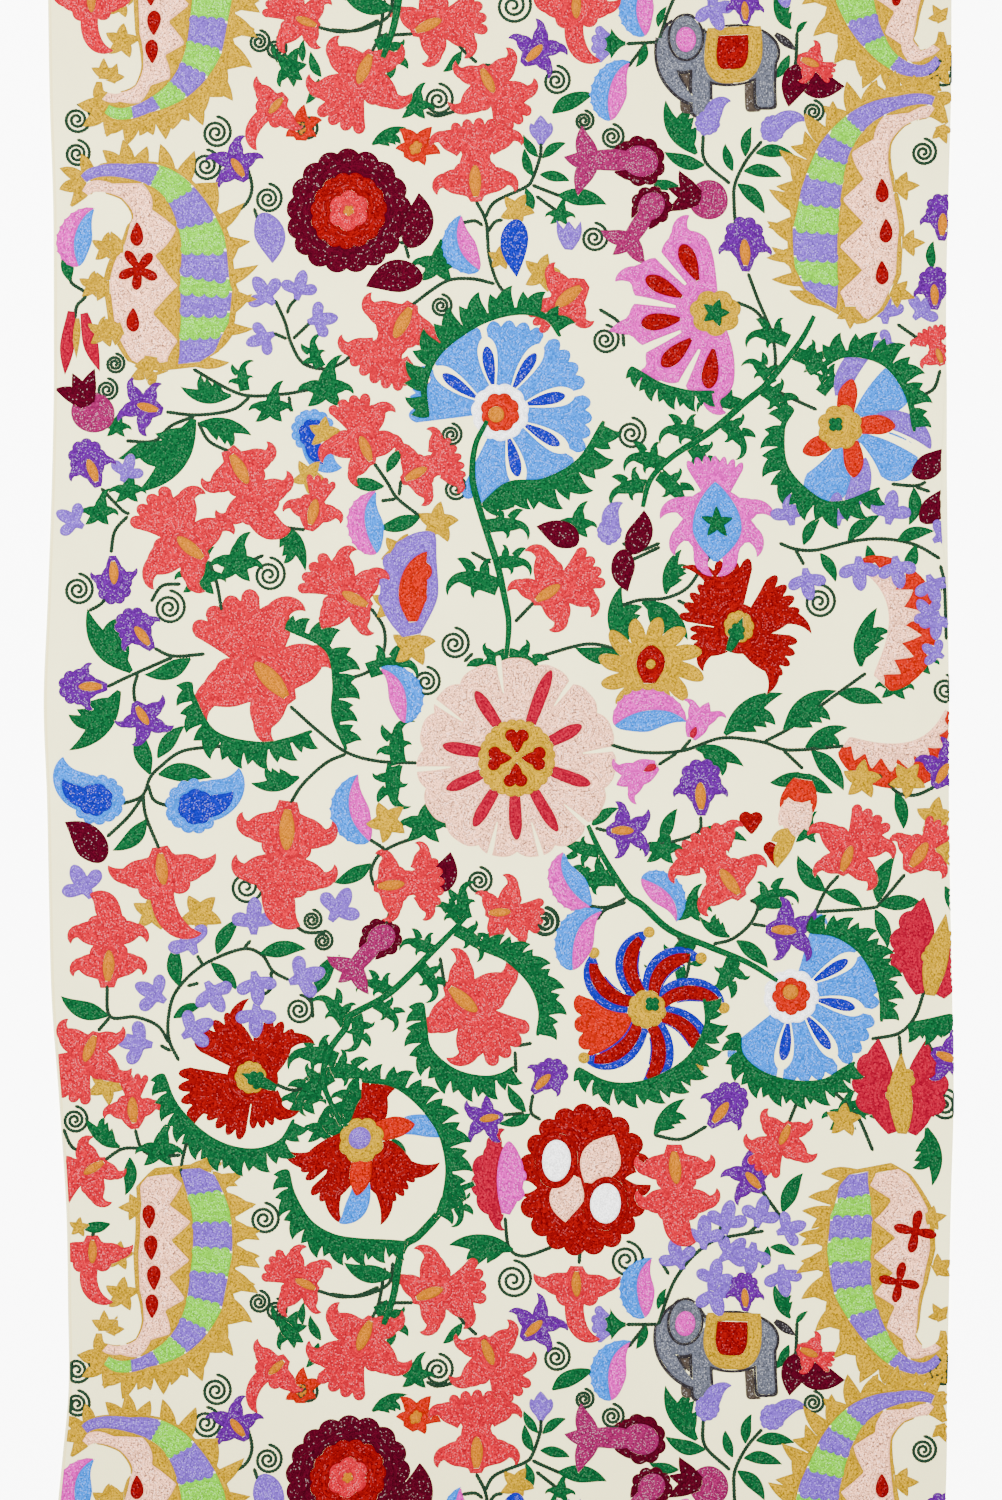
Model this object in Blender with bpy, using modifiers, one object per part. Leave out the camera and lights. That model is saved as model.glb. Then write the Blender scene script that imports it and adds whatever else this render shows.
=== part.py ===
"""Suzani cloth: one full-width length of embroidered cotton, lying flat.

The left edge is the cloth's selvedge, a little wavy. The right edge is turned under in
one flat fold, so that the cloth lies in two layers there. A few soft creases and edge
ripples lift it off the surface, and its edges curl up by under a millimetre; everywhere
else its underside is flat at height zero.
X runs across the width, Y along the length and Z up, all in metres.
"""

import math
from collections import namedtuple

import bmesh
import bpy

# Driving sizes of the cloth
CLOTH_LENGTH = 2.300
CLOTH_THICKNESS = 0.002
TURN_UNDER_WIDTH = 0.040
LAYER_GAP = 0.001
SLOPE_WIDTH = 0.034

# The rectangle inside which the cloth touches the surface, and how its edges curl up outside it
FLAT_LEFT = -0.630
FLAT_RIGHT = 0.652
FLAT_END = 1.120
CURL_HEIGHT = 0.0008
CURL_WIDTH = 0.030
CURL_START = 0.004

# How finely the sheet is divided
ROW_SPACING = 0.050
COLUMN_SPACING = 0.048
CREASE_COLUMNS = (-1.0, -0.5, 0.0, 0.5, 1.0)
LEAST_SPACING = 0.012
FOLD_STEPS = 6
SLOPE_STEPS = 5
STRIP_STEPS = 2
EDGE_STEPS = 2

# Where the two long edges run: the place along the length and the X of each edge
EdgeRow = namedtuple("EdgeRow", "along left right")
EDGE_ROWS = (
    EdgeRow(-1.150, -0.658, 0.663),
    EdgeRow(-1.040, -0.647, 0.666),
    EdgeRow(-0.966, -0.640, 0.666),
    EdgeRow(-0.817, -0.640, 0.669),
    EdgeRow(-0.669, -0.643, 0.672),
    EdgeRow(-0.520, -0.653, 0.676),
    EdgeRow(-0.372, -0.664, 0.674),
    EdgeRow(-0.223, -0.668, 0.671),
    EdgeRow(-0.074, -0.671, 0.669),
    EdgeRow(0.074, -0.676, 0.669),
    EdgeRow(0.223, -0.670, 0.668),
    EdgeRow(0.372, -0.665, 0.666),
    EdgeRow(0.520, -0.661, 0.666),
    EdgeRow(0.669, -0.661, 0.665),
    EdgeRow(0.817, -0.662, 0.668),
    EdgeRow(0.966, -0.667, 0.672),
    EdgeRow(1.150, -0.670, 0.673),
)

# Soft ridges in the cloth: the middle of each, its length and width, its height, and
# the angle of its length from the Y axis; a higher taper gives them shorter ends
Crease = namedtuple("Crease", "x y length width height angle")
CREASE_TAPER = 1.6
CREASES = (
    Crease(0.407, -0.935, 0.420, 0.060, 0.0030, math.radians(3)),
    Crease(-0.638, 0.080, 0.240, 0.085, 0.0028, 0.0),
    Crease(-0.626, -0.560, 0.260, 0.080, 0.0024, math.radians(-6)),
    Crease(-0.646, 0.900, 0.300, 0.070, 0.0020, math.radians(2)),
)

CLOTH_COLOUR = (0.86, 0.81, 0.69, 1.0)


def clear_scene():
    """Removes every object that is already in the file."""
    for old in list(bpy.data.objects):
        bpy.data.objects.remove(old, do_unlink=True)


def split(start, end, count):
    """The values that divide the way from start to end into a number of equal steps."""
    return [start + (end - start) * step / count for step in range(count + 1)]


def steps_between(start, end, spacing):
    """Evenly spaced values from start to end, no further apart than spacing."""
    return split(start, end, math.ceil(abs(end - start) / spacing))


def ease(share):
    """A smooth step from 0 to 1."""
    share = min(1.0, max(0.0, share))
    return share * share * (3.0 - 2.0 * share)


def edges_at(along):
    """The X of the left and the right edge at one place along the length, on smooth curves
    through the table's rows."""
    place = 0
    while place < len(EDGE_ROWS) - 2 and along > EDGE_ROWS[place + 1].along:
        place += 1
    low, high = EDGE_ROWS[place], EDGE_ROWS[place + 1]
    before = EDGE_ROWS[max(place - 1, 0)]
    after = EDGE_ROWS[min(place + 2, len(EDGE_ROWS) - 1)]
    span = high.along - low.along
    share = (along - low.along) / span

    def smooth(side):
        start_slope = (getattr(high, side) - getattr(before, side)) / (high.along - before.along)
        end_slope = (getattr(after, side) - getattr(low, side)) / (after.along - low.along)
        rise = ease(share) * (getattr(high, side) - getattr(low, side))
        start_bend = share * (1.0 - share) ** 2 * span * start_slope
        end_bend = share ** 2 * (1.0 - share) * span * end_slope
        return getattr(low, side) + rise + start_bend - end_bend

    return smooth("left"), smooth("right")


def crease_lift(x, y):
    """How far the soft ridges lift the cloth at one point: the highest of them."""
    highest = 0.0
    for crease in CREASES:
        across = (x - crease.x) * math.cos(crease.angle) + (y - crease.y) * math.sin(crease.angle)
        along = (y - crease.y) * math.cos(crease.angle) - (x - crease.x) * math.sin(crease.angle)
        side = 1.0 - abs(across) / (crease.width / 2)
        end = 1.0 - abs(along) / (crease.length / 2)
        if side > 0.0 and end > 0.0:
            highest = max(highest, crease.height * ease(side) * ease(end * CREASE_TAPER))
    return highest


def curl(x, y):
    """How far the cloth's edge curls up at one point outside the flat rectangle."""
    outside = max(FLAT_LEFT - x, x - FLAT_RIGHT, abs(y) - FLAT_END)
    return CURL_HEIGHT * ease(outside / CURL_WIDTH)


def lift(x, y):
    """How far the underside lies above the surface at one point."""
    return max(crease_lift(x, y), curl(x, y))


def main_columns(slope_end):
    """The X of the grid's columns from the flat rectangle's left side to the slope: at each
    crease first, and evenly elsewhere."""
    places = [FLAT_LEFT, slope_end]
    for crease in CREASES:
        for share in CREASE_COLUMNS:
            place = crease.x + crease.width / 2 * share
            spacing = min(abs(place - other) for other in places)
            if spacing > LEAST_SPACING and place > FLAT_LEFT:
                places.append(place)
    for place in steps_between(FLAT_LEFT, slope_end, COLUMN_SPACING):
        if min(abs(place - other) for other in places) > COLUMN_SPACING / 2:
            places.append(place)
    return sorted(places)[:-1]


def fold_places(right):
    """The X of the fold's middle, of the turned-under end and of the slope's foot."""
    fold_middle = right - CLOTH_THICKNESS - LAYER_GAP / 2
    strip_end = fold_middle - TURN_UNDER_WIDTH
    return fold_middle, strip_end, strip_end - SLOPE_WIDTH


def cross_section(left, right, columns, y):
    """The underside of the cloth across its width, from the end that is turned under,
    round the fold and down to the flat cloth, as points (x, z)."""
    fold_middle, strip_end, slope_end = fold_places(right)
    upper = CLOTH_THICKNESS + LAYER_GAP
    strip = split(strip_end, FLAT_RIGHT, STRIP_STEPS) + [FLAT_RIGHT + CURL_START, fold_middle]
    points = [(x, CLOTH_THICKNESS + curl(x, y)) for x in strip]
    for step in range(1, FOLD_STEPS):
        turn = math.pi * step / FOLD_STEPS
        x = fold_middle + LAYER_GAP / 2 * math.sin(turn)
        z = CLOTH_THICKNESS + LAYER_GAP / 2 * (1.0 - math.cos(turn))
        points.append((x, z + curl(fold_middle, y)))
    points += [(x, upper + curl(x, y)) for x in reversed(strip)]
    for share in split(0.0, 1.0, SLOPE_STEPS)[1:]:
        x = strip_end - SLOPE_WIDTH * share
        points.append((x, upper * (1.0 - ease(share)) + lift(x, y)))
    points += [(x, lift(x, y)) for x in reversed(columns)]
    points += [(x, lift(x, y)) for x in split(FLAT_LEFT, left, EDGE_STEPS)[1:]]
    return points


def row_places():
    """The Y of the grid's rows: even inside the flat rectangle, and closer at the two ends."""
    ends = split(FLAT_END, CLOTH_LENGTH / 2, EDGE_STEPS)[1:]
    return [-y for y in reversed(ends)] + steps_between(-FLAT_END, FLAT_END, ROW_SPACING) + ends


def cloth_mesh(name):
    """The underside as an open grid: one cross-section for each row along the length."""
    rows = row_places()
    edges = [edges_at(y) for y in rows]
    columns = main_columns(min(fold_places(right)[2] for left, right in edges))
    grid = bmesh.new()
    lines = []
    for y, (left, right) in zip(rows, edges):
        section = cross_section(left, right, columns, y)
        lines.append([grid.verts.new((x, y, z)) for x, z in section])
    for line, following in zip(lines, lines[1:]):
        for first in range(len(line) - 1):
            second = first + 1
            grid.faces.new((line[first], following[first], following[second], line[second]))
    mesh = bpy.data.meshes.new(name)
    grid.to_mesh(mesh)
    grid.free()
    return mesh


def cloth_material():
    """Cream cotton."""
    material = bpy.data.materials.new("cream_cotton")
    material.use_nodes = True
    shader = material.node_tree.nodes["Principled BSDF"]
    shader.inputs["Base Color"].default_value = CLOTH_COLOUR
    shader.inputs["Roughness"].default_value = 0.85
    shader.inputs["Metallic"].default_value = 0.0
    return material


def build_cloth(collection):
    """The whole cloth: its underside given the thickness of cotton and stitches."""
    cloth = bpy.data.objects.new("suzani_cloth", cloth_mesh("suzani_cloth"))
    collection.objects.link(cloth)
    cloth.data.materials.append(cloth_material())
    thickness = cloth.modifiers.new("thickness", "SOLIDIFY")
    thickness.thickness = CLOTH_THICKNESS
    thickness.offset = 1.0
    thickness.use_even_offset = True
    cloth.data.shade_smooth()
    return cloth


def main():
    clear_scene()
    collection = bpy.data.collections.new("suzani_cloth")
    bpy.context.scene.collection.children.link(collection)
    build_cloth(collection)


main()
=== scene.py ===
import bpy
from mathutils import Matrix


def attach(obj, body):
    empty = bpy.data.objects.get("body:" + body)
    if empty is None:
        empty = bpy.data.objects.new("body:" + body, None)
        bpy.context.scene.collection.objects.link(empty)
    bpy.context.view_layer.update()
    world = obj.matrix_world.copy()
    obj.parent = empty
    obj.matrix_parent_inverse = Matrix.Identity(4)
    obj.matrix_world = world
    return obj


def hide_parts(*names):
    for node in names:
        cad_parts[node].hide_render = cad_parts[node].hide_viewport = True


bl_info = {
    "name": "Suzani Cloth",
    "version": (1, 0, 0),
    "blender": (4, 5, 0),
    "location": "View3D > Sidebar > Suzani",
    "description": "Lays out a length of cream cotton and works its embroidery on it",
    "category": "Mesh",
}

import math
from collections import namedtuple

import bpy
import numpy as np
from bpy.props import FloatProperty, FloatVectorProperty, PointerProperty
from mathutils import Vector
from mathutils.geometry import delaunay_2d_cdt

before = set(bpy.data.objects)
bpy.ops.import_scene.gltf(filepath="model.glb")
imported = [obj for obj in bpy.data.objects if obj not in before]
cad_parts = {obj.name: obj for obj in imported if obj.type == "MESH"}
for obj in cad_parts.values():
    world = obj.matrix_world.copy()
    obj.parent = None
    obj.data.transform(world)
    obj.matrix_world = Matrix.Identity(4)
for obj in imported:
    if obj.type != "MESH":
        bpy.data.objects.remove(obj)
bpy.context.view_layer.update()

# The layout: one step is the length of cloth that one pixel of the photo shows, and
# places count steps across from the left and down from the top of the photo
STEP = 0.001486
MIDDLE_ACROSS = 498.6
MIDDLE_DOWN = 750.0

# The cloth as it lies, in metres, as in the part's own sizes
CLOTH_NODE = "suzani_cloth"
CLOTH_LENGTH = 2.300
TURN_UNDER_WIDTH = 0.040
SLOPE_WIDTH = 0.034
UPPER_LAYER = 0.0030
FLAT_LEFT = -0.630
FLAT_RIGHT = 0.652
FLAT_END = 1.120
CURL_HEIGHT = 0.0008
CURL_WIDTH = 0.030
FOLD_MARGIN = 0.0025
PUCKER = 0.00012

# The lip of the upper layer, where it falls short of the fold
LIP_DROP = 0.0011
LIP_WIDTH = 0.0016
LIP_FULL = 0.003

# Where the two long edges run, and how far the upper layer falls short of the fold
EdgeRow = namedtuple("EdgeRow", "along left right short")
EDGE_ROWS = (
    EdgeRow(-1.150, -0.658, 0.663, 0.0),
    EdgeRow(-1.040, -0.647, 0.666, 0.0),
    EdgeRow(-0.966, -0.640, 0.666, 0.0),
    EdgeRow(-0.817, -0.640, 0.669, 0.0),
    EdgeRow(-0.669, -0.643, 0.672, 0.0),
    EdgeRow(-0.520, -0.653, 0.676, 0.0),
    EdgeRow(-0.372, -0.664, 0.674, 0.0),
    EdgeRow(-0.223, -0.668, 0.671, 0.0),
    EdgeRow(-0.074, -0.671, 0.669, 0.0),
    EdgeRow(0.074, -0.676, 0.669, 0.0),
    EdgeRow(0.200, -0.671, 0.668, 0.0),
    EdgeRow(0.250, -0.669, 0.668, 0.003),
    EdgeRow(0.330, -0.666, 0.667, 0.009),
    EdgeRow(0.430, -0.663, 0.666, 0.008),
    EdgeRow(0.540, -0.661, 0.666, 0.004),
    EdgeRow(0.620, -0.661, 0.665, 0.0),
    EdgeRow(0.669, -0.661, 0.665, 0.0),
    EdgeRow(0.817, -0.662, 0.668, 0.0),
    EdgeRow(0.966, -0.667, 0.672, 0.0),
    EdgeRow(1.150, -0.670, 0.673, 0.0),
)

# Soft ridges, as in the part, and finer ones that only the cotton shows
Crease = namedtuple("Crease", "x y length width height angle")
CREASES = (
    Crease(0.407, -0.935, 0.420, 0.060, 0.0030, 3),
    Crease(-0.638, 0.080, 0.240, 0.085, 0.0028, 0),
    Crease(-0.626, -0.560, 0.260, 0.080, 0.0024, -6),
    Crease(-0.646, 0.900, 0.300, 0.070, 0.0020, 2),
    Crease(-0.164, -1.000, 0.120, 0.016, 0.0012, 0),
    Crease(-0.154, -0.968, 0.060, 0.014, 0.0010, 92),
    Crease(-0.655, 1.058, 0.060, 0.012, 0.0012, -35),
)


# Sizes and colours that a user would change


def srgb(red, green, blue):
    """A colour as a scene holds it, from the 0 to 255 values of a screen."""
    return tuple(((c / 255 + 0.055) / 1.055) ** 2.4 if c > 10 else c / 3295 for c in (red, green, blue))


def length(name, description, default):
    return FloatProperty(name=name, description=description, default=default, unit="LENGTH", precision=5)


def thread(name, description, *colour):
    return FloatVectorProperty(
        name=name, description=description, default=srgb(*colour), subtype="COLOR", size=3, min=0, max=1
    )


class SuzaniSizes(bpy.types.PropertyGroup):
    cotton: length("Cotton", "Thickness of the cotton ground", 0.0008)
    grid: length("Grid", "Spacing of the ground's mesh", 0.011)
    pile: length("Pile", "How far filled stitches stand above the cotton", 0.0012)
    cord: length("Cord", "How far a stem's single row stands above the cotton", 0.0011)
    shoulder: length("Shoulder", "Width over which a filled shape rises from its edge", 0.0026)
    lump: length("Lump", "How uneven the filled stitches are", 0.00022)
    fill_grid: length("Fill grid", "Spacing of the mesh inside a filled shape", 0.0034)
    loop_length: length("Loop length", "Length of one chain-stitch loop", 0.0046)
    loop_width: length("Loop width", "Distance between two rows of chain stitch", 0.0034)
    edge_row: length("Edge row", "Width of the darker row along a shape's edge", 0.0034)


class SuzaniThreads(bpy.types.PropertyGroup):
    cream: thread("Cream", "The cotton ground", 248, 242, 182)
    coral: thread("Coral", "Lilies", 168, 8, 32)
    leaf: thread("Leaf green", "Leaves and toothed arcs", 13, 70, 36)
    stem: thread("Stem green", "Stems and tendrils", 22, 44, 30)
    yellow: thread("Yellow", "Paisley rims, stars and flower hearts", 162, 124, 0)
    orange: thread("Orange", "Small flowers, pods and flower hearts", 154, 16, 0)
    amber: thread("Amber", "Pistils", 164, 94, 0)
    lavender: thread("Lavender", "Sprigs and paisley stripes", 97, 62, 166)
    lime: thread("Lime", "Paisley stripes", 96, 182, 4)
    blush: thread("Blush", "Paisley bodies and the medallion", 247, 178, 144)
    sky: thread("Sky blue", "Fan flowers and half moons", 6, 104, 204)
    royal: thread("Royal blue", "Drops and petal cores", 10, 16, 140)
    purple: thread("Purple", "Irises", 72, 6, 108)
    burgundy: thread("Burgundy", "Rosettes and drops", 62, 4, 20)
    crimson: thread("Crimson", "Carnations and paisley drops", 112, 2, 6)
    raspberry: thread("Raspberry", "Butterfly flowers and rays", 136, 2, 34)
    pink: thread("Pink", "Palmettes and half moons", 184, 24, 150)
    plum: thread("Plum pink", "Pomegranates", 114, 20, 70)
    grey: thread("Grey", "Elephants", 77, 80, 91)
    charcoal: thread("Charcoal", "Outlines of the elephants", 36, 33, 36)
    brown: thread("Brown", "Far legs of the elephants", 61, 53, 46)
    white: thread("White", "Hubs of the fan flowers", 250, 250, 250)


# The cloth's surface


def edge_curve(side):
    """One column of the edge table as a smooth curve: places along and values."""
    along = np.array([row.along for row in EDGE_ROWS])
    value = np.array([getattr(row, side) for row in EDGE_ROWS])
    slope = np.gradient(value, along)
    fine = np.linspace(along[0], along[-1], 461)
    low = np.clip(np.searchsorted(along, fine) - 1, 0, len(along) - 2)
    span = along[low + 1] - along[low]
    share = (fine - along[low]) / span
    rise = (3 - 2 * share) * share**2 * (value[low + 1] - value[low])
    bend = share * (1 - share) ** 2 * span * slope[low] - share**2 * (1 - share) * span * slope[low + 1]
    return fine, value[low] + rise + bend


EDGE_CURVES = {side: edge_curve(side) for side in ("left", "right", "short")}


def edge_at(side, y):
    return np.interp(y, *EDGE_CURVES[side])


def ease(share):
    """A smooth step from 0 to 1."""
    share = np.clip(share, 0.0, 1.0)
    return share * share * (3.0 - 2.0 * share)


def lift_at(x, y):
    """How far the cotton's underside lies above the surface: creases, curled edges and pucker."""
    outside = np.maximum.reduce([FLAT_LEFT - x, x - FLAT_RIGHT, np.abs(y) - FLAT_END])
    lift = CURL_HEIGHT * ease(outside / CURL_WIDTH)
    for crease in CREASES:
        angle = math.radians(crease.angle)
        across = (x - crease.x) * math.cos(angle) + (y - crease.y) * math.sin(angle)
        along = (y - crease.y) * math.cos(angle) - (x - crease.x) * math.sin(angle)
        side = ease(1.0 - np.abs(across) / (crease.width / 2))
        end = ease((1.0 - np.abs(along) / (crease.length / 2)) * 1.6)
        lift = np.maximum(lift, crease.height * side * end)
    pucker = np.sin(93 * x + 41 * y) * np.sin(71 * y - 37 * x)
    pucker += np.sin(151 * x - 60) * np.sin(133 * y + 29 * x)
    return lift + PUCKER * (2 + pucker)


def edge_lift(x, y):
    """How high the upper layer's underside lies over the turned-under strip: it drops at its
    lip where it falls short of the fold."""
    short = edge_at("short", y)
    lip = edge_at("right", y) - short
    return UPPER_LAYER - LIP_DROP * ease((x - lip) / LIP_WIDTH + 0.5) * ease(short / LIP_FULL)


def fold_middle(y, thickness):
    """Where the upper layer starts to roll over, and the radius of its outer side."""
    right = edge_at("right", y)
    radius = (edge_lift(right, y) + thickness) / 2
    return right - radius, radius


def slope_foot(y):
    """Where the cotton starts to climb on to its turned-under strip."""
    return edge_at("right", y) - FOLD_MARGIN - TURN_UNDER_WIDTH - SLOPE_WIDTH


def slope_share(x, y):
    """1 where the cotton lies on its turned-under strip, 0 where it lies on the surface."""
    return ease((x - slope_foot(y)) / SLOPE_WIDTH)


def lay(points, height):
    """Puts layout points on the cotton, a height above it, round the fold if they pass it."""
    cotton = bpy.context.scene.suzani_sizes.cotton
    x = (points[:, 0] - MIDDLE_ACROSS) * STEP
    y = (MIDDLE_DOWN + points[:, 1]) * STEP
    middle, radius = fold_middle(y, cotton)
    turn = np.clip((x - middle) / radius, 0.0, None)
    flat_x = np.minimum(x, middle)
    layer = np.minimum(UPPER_LAYER * slope_share(flat_x, y), edge_lift(flat_x, y))
    base = lift_at(flat_x, y) + layer + cotton
    rolled = turn > 0
    out_x = np.where(rolled, middle + (radius + height) * np.sin(turn), x)
    out_z = np.where(rolled, base - radius + (radius + height) * np.cos(turn), base + height)
    return np.stack([out_x, y, out_z], 1)


# Closed outlines, drawn in a motif's own units and placed in the layout


def zigzag(count, low, high, lean=0.6):
    """A side that runs in teeth between two values, as a function of the place along."""

    def side(along):
        share = (along * count) % 1.0
        tooth = np.where(share < lean, share / lean, (1.0 - share) / (1.0 - lean))
        return low + (high - low) * tooth

    side.count = count
    return side


def scallop(count, low, high):
    """A side that runs in round lobes between two values."""

    def side(along):
        return low + (high - low) * np.abs(np.sin(np.pi * count * along)) ** 0.6

    side.count = count
    return side


Spine = namedtuple("Spine", "along x y side_x side_y half")


# How uneven handwork is, in a motif's units, and how long the sides of round outlines are in steps
WOBBLE = 1.1
SPINE_SIDE = 1.9
DISC_SIDE = 2.2


class Pen:
    """Draws one motif: a hundred of its units are as long as its size in layout steps, its
    up is turned clockwise by its turn, and headings count degrees clockwise from up."""

    def __init__(self, across, down, size, turn=0, flip=0):
        self.across, self.down = across, down
        self.scale = size / 100
        self.angle = math.radians(turn)
        self.mirror = -1 if flip else 1
        self.phase = (across * 0.37 + down * 0.61) % 6.28

    def put(self, x, y):
        """Layout points of the motif's own, a little uneven as handwork is."""
        x = x + WOBBLE * np.sin(y * 0.055 + self.phase)
        y = y + WOBBLE * np.sin(x * 0.050 + 2 * self.phase)
        x = x * self.mirror
        turned_x = x * math.cos(self.angle) + y * math.sin(self.angle)
        turned_y = y * math.cos(self.angle) - x * math.sin(self.angle)
        return np.stack([self.across + turned_x * self.scale, turned_y * self.scale - self.down], 1)

    def spine(self, x, y, heading, length, width, curl=0, base=0.0, start=1.0, fullest=0.45, tip=1.0,
              bend=1.0, detail=0):
        """A curved middle line with a half width at each of its points."""
        count = int(max(10, detail, length * self.scale / SPINE_SIDE))
        along = (1 - np.cos(np.pi * np.arange(count + 1) / count)) / 2
        if detail:
            along = np.linspace(0, 1, count + 1)
        angle = np.radians(heading + curl * along**bend)
        step = np.diff(along) * length
        middle = (angle[1:] + angle[:-1]) / 2
        cx = x + np.concatenate([[0], np.cumsum(np.sin(middle) * step)])
        cy = y + np.concatenate([[0], np.cumsum(np.cos(middle) * step)])
        rise = base + (1 - base) * np.sin(np.pi / 2 * np.clip(along / fullest, 0, 1)) ** start
        fall = np.cos(np.pi / 2 * np.clip((along - fullest) / (1 - fullest), 0, 1)) ** tip
        half = width / 2 * np.where(along < fullest, rise, fall)
        return Spine(along, cx, cy, np.cos(angle), -np.sin(angle), half)

    def band(self, spine, start=0.0, end=1.0, low=-1.0, high=1.0):
        """The outline between two sides of a spine, each a share of its half width or a
        function of the place along."""
        teeth = max(getattr(low, "count", 0), getattr(high, "count", 0))
        count = int(max(8, teeth * 8, (end - start) * len(spine.along)))
        along = np.linspace(start, end, count + 1)
        if not teeth and start == 0.0 and end == 1.0:
            along = spine.along
        x, y, side_x, side_y, half = (np.interp(along, spine.along, value) for value in spine[1:])
        sides = []
        for side in (low, high):
            share = side(along) if callable(side) else side
            sides.append(half * share)
        there = (x + side_x * sides[1], y + side_y * sides[1])
        back = (x + side_x * sides[0], y + side_y * sides[0])
        return self.put(np.concatenate([there[0], back[0][::-1]]), np.concatenate([there[1], back[1][::-1]]))

    def blade(self, *line, **shape):
        """A petal, leaf or drop round a curved middle line, as a spine's own values give it."""
        return self.band(self.spine(*line, **shape))

    def disc(self, x, y, radius, lobes=0, depth=0.0, tall=1.0):
        """A round or scalloped disc."""
        count = int(max(12, lobes * 7, 2 * math.pi * radius * self.scale / DISC_SIDE))
        turn = np.linspace(0, 2 * np.pi, count, endpoint=False)
        reach = radius * (1 - depth + depth * np.abs(np.sin(turn * lobes / 2)) ** 0.7)
        return self.put(x + np.sin(turn) * reach, y + np.cos(turn) * reach * tall)

    def fan(self, x, y, heading, length, spread, lobes=4, depth=0.14, waist=14, hook=0.0):
        """A skirt of petals: narrow at its foot, with a scalloped edge and corners drawn out by hook."""
        share = np.linspace(0, 1, max(lobes * 8, 16) + 1)
        turn = np.radians(spread) * (share - 0.5)
        corner = np.abs(2 * share - 1) ** 5
        reach = length * (1 - depth + depth * np.abs(np.sin(np.pi * lobes * share)) ** 0.6 + hook * corner)
        rim_x, rim_y = np.sin(turn) * reach, np.cos(turn) * reach
        rim_y = rim_y - hook * length * 0.35 * corner
        side = np.linspace(0.12, 0.9, 7)
        foot = waist / 2
        right_x = foot + (rim_x[-1] - foot) * side**1.7
        right_y = rim_y[-1] * side
        local_x = np.concatenate([[-foot], -right_x, rim_x, right_x[::-1], [foot]])
        local_y = np.concatenate([[0], right_y, rim_y, right_y[::-1], [0]])
        angle = math.radians(heading)
        turned_x = x + local_x * math.cos(angle) + local_y * math.sin(angle)
        turned_y = y + local_y * math.cos(angle) - local_x * math.sin(angle)
        return self.put(turned_x, turned_y)

    def both(self, x, *shape, **more):
        """A blade and its mirror image about the motif's own middle."""
        y, heading, length, width, curl = shape
        return [
            self.blade(x, y, heading, length, width, curl, **more),
            self.blade(-x, y, -heading, length, width, -curl, **more),
        ]


# Motifs: each is a row of patches in the order they are worked, and a later patch takes the
# place of what lies under it. A Pair is a blade and its mirror image, and a Petal has a hooked tip.

Blade = namedtuple("Blade", "x y heading length width curl base fullest tip", defaults=(0, 0.7, 0.4, 0.8))
Pair = namedtuple("Pair", "x y heading length width curl base fullest tip", defaults=(0, 0.7, 0.4, 0.8))
Petal = namedtuple("Petal", "x y heading length width hook")
Disc = namedtuple("Disc", "x y radius lobes depth tall", defaults=(0, 0.0, 1.0))
Fan = namedtuple("Fan", "x y heading length spread lobes depth waist hook", defaults=(4, 0.14, 20, 0.2))

PISTIL = ("amber", (Blade(0, 4, 0, 37, 14, 0, 0.4, 0.5, 0.5),))
SHORT_PISTIL = ("amber", (Blade(0, 8, 0, 42, 17, 0, 0.4, 0.5, 0.5),))

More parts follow.
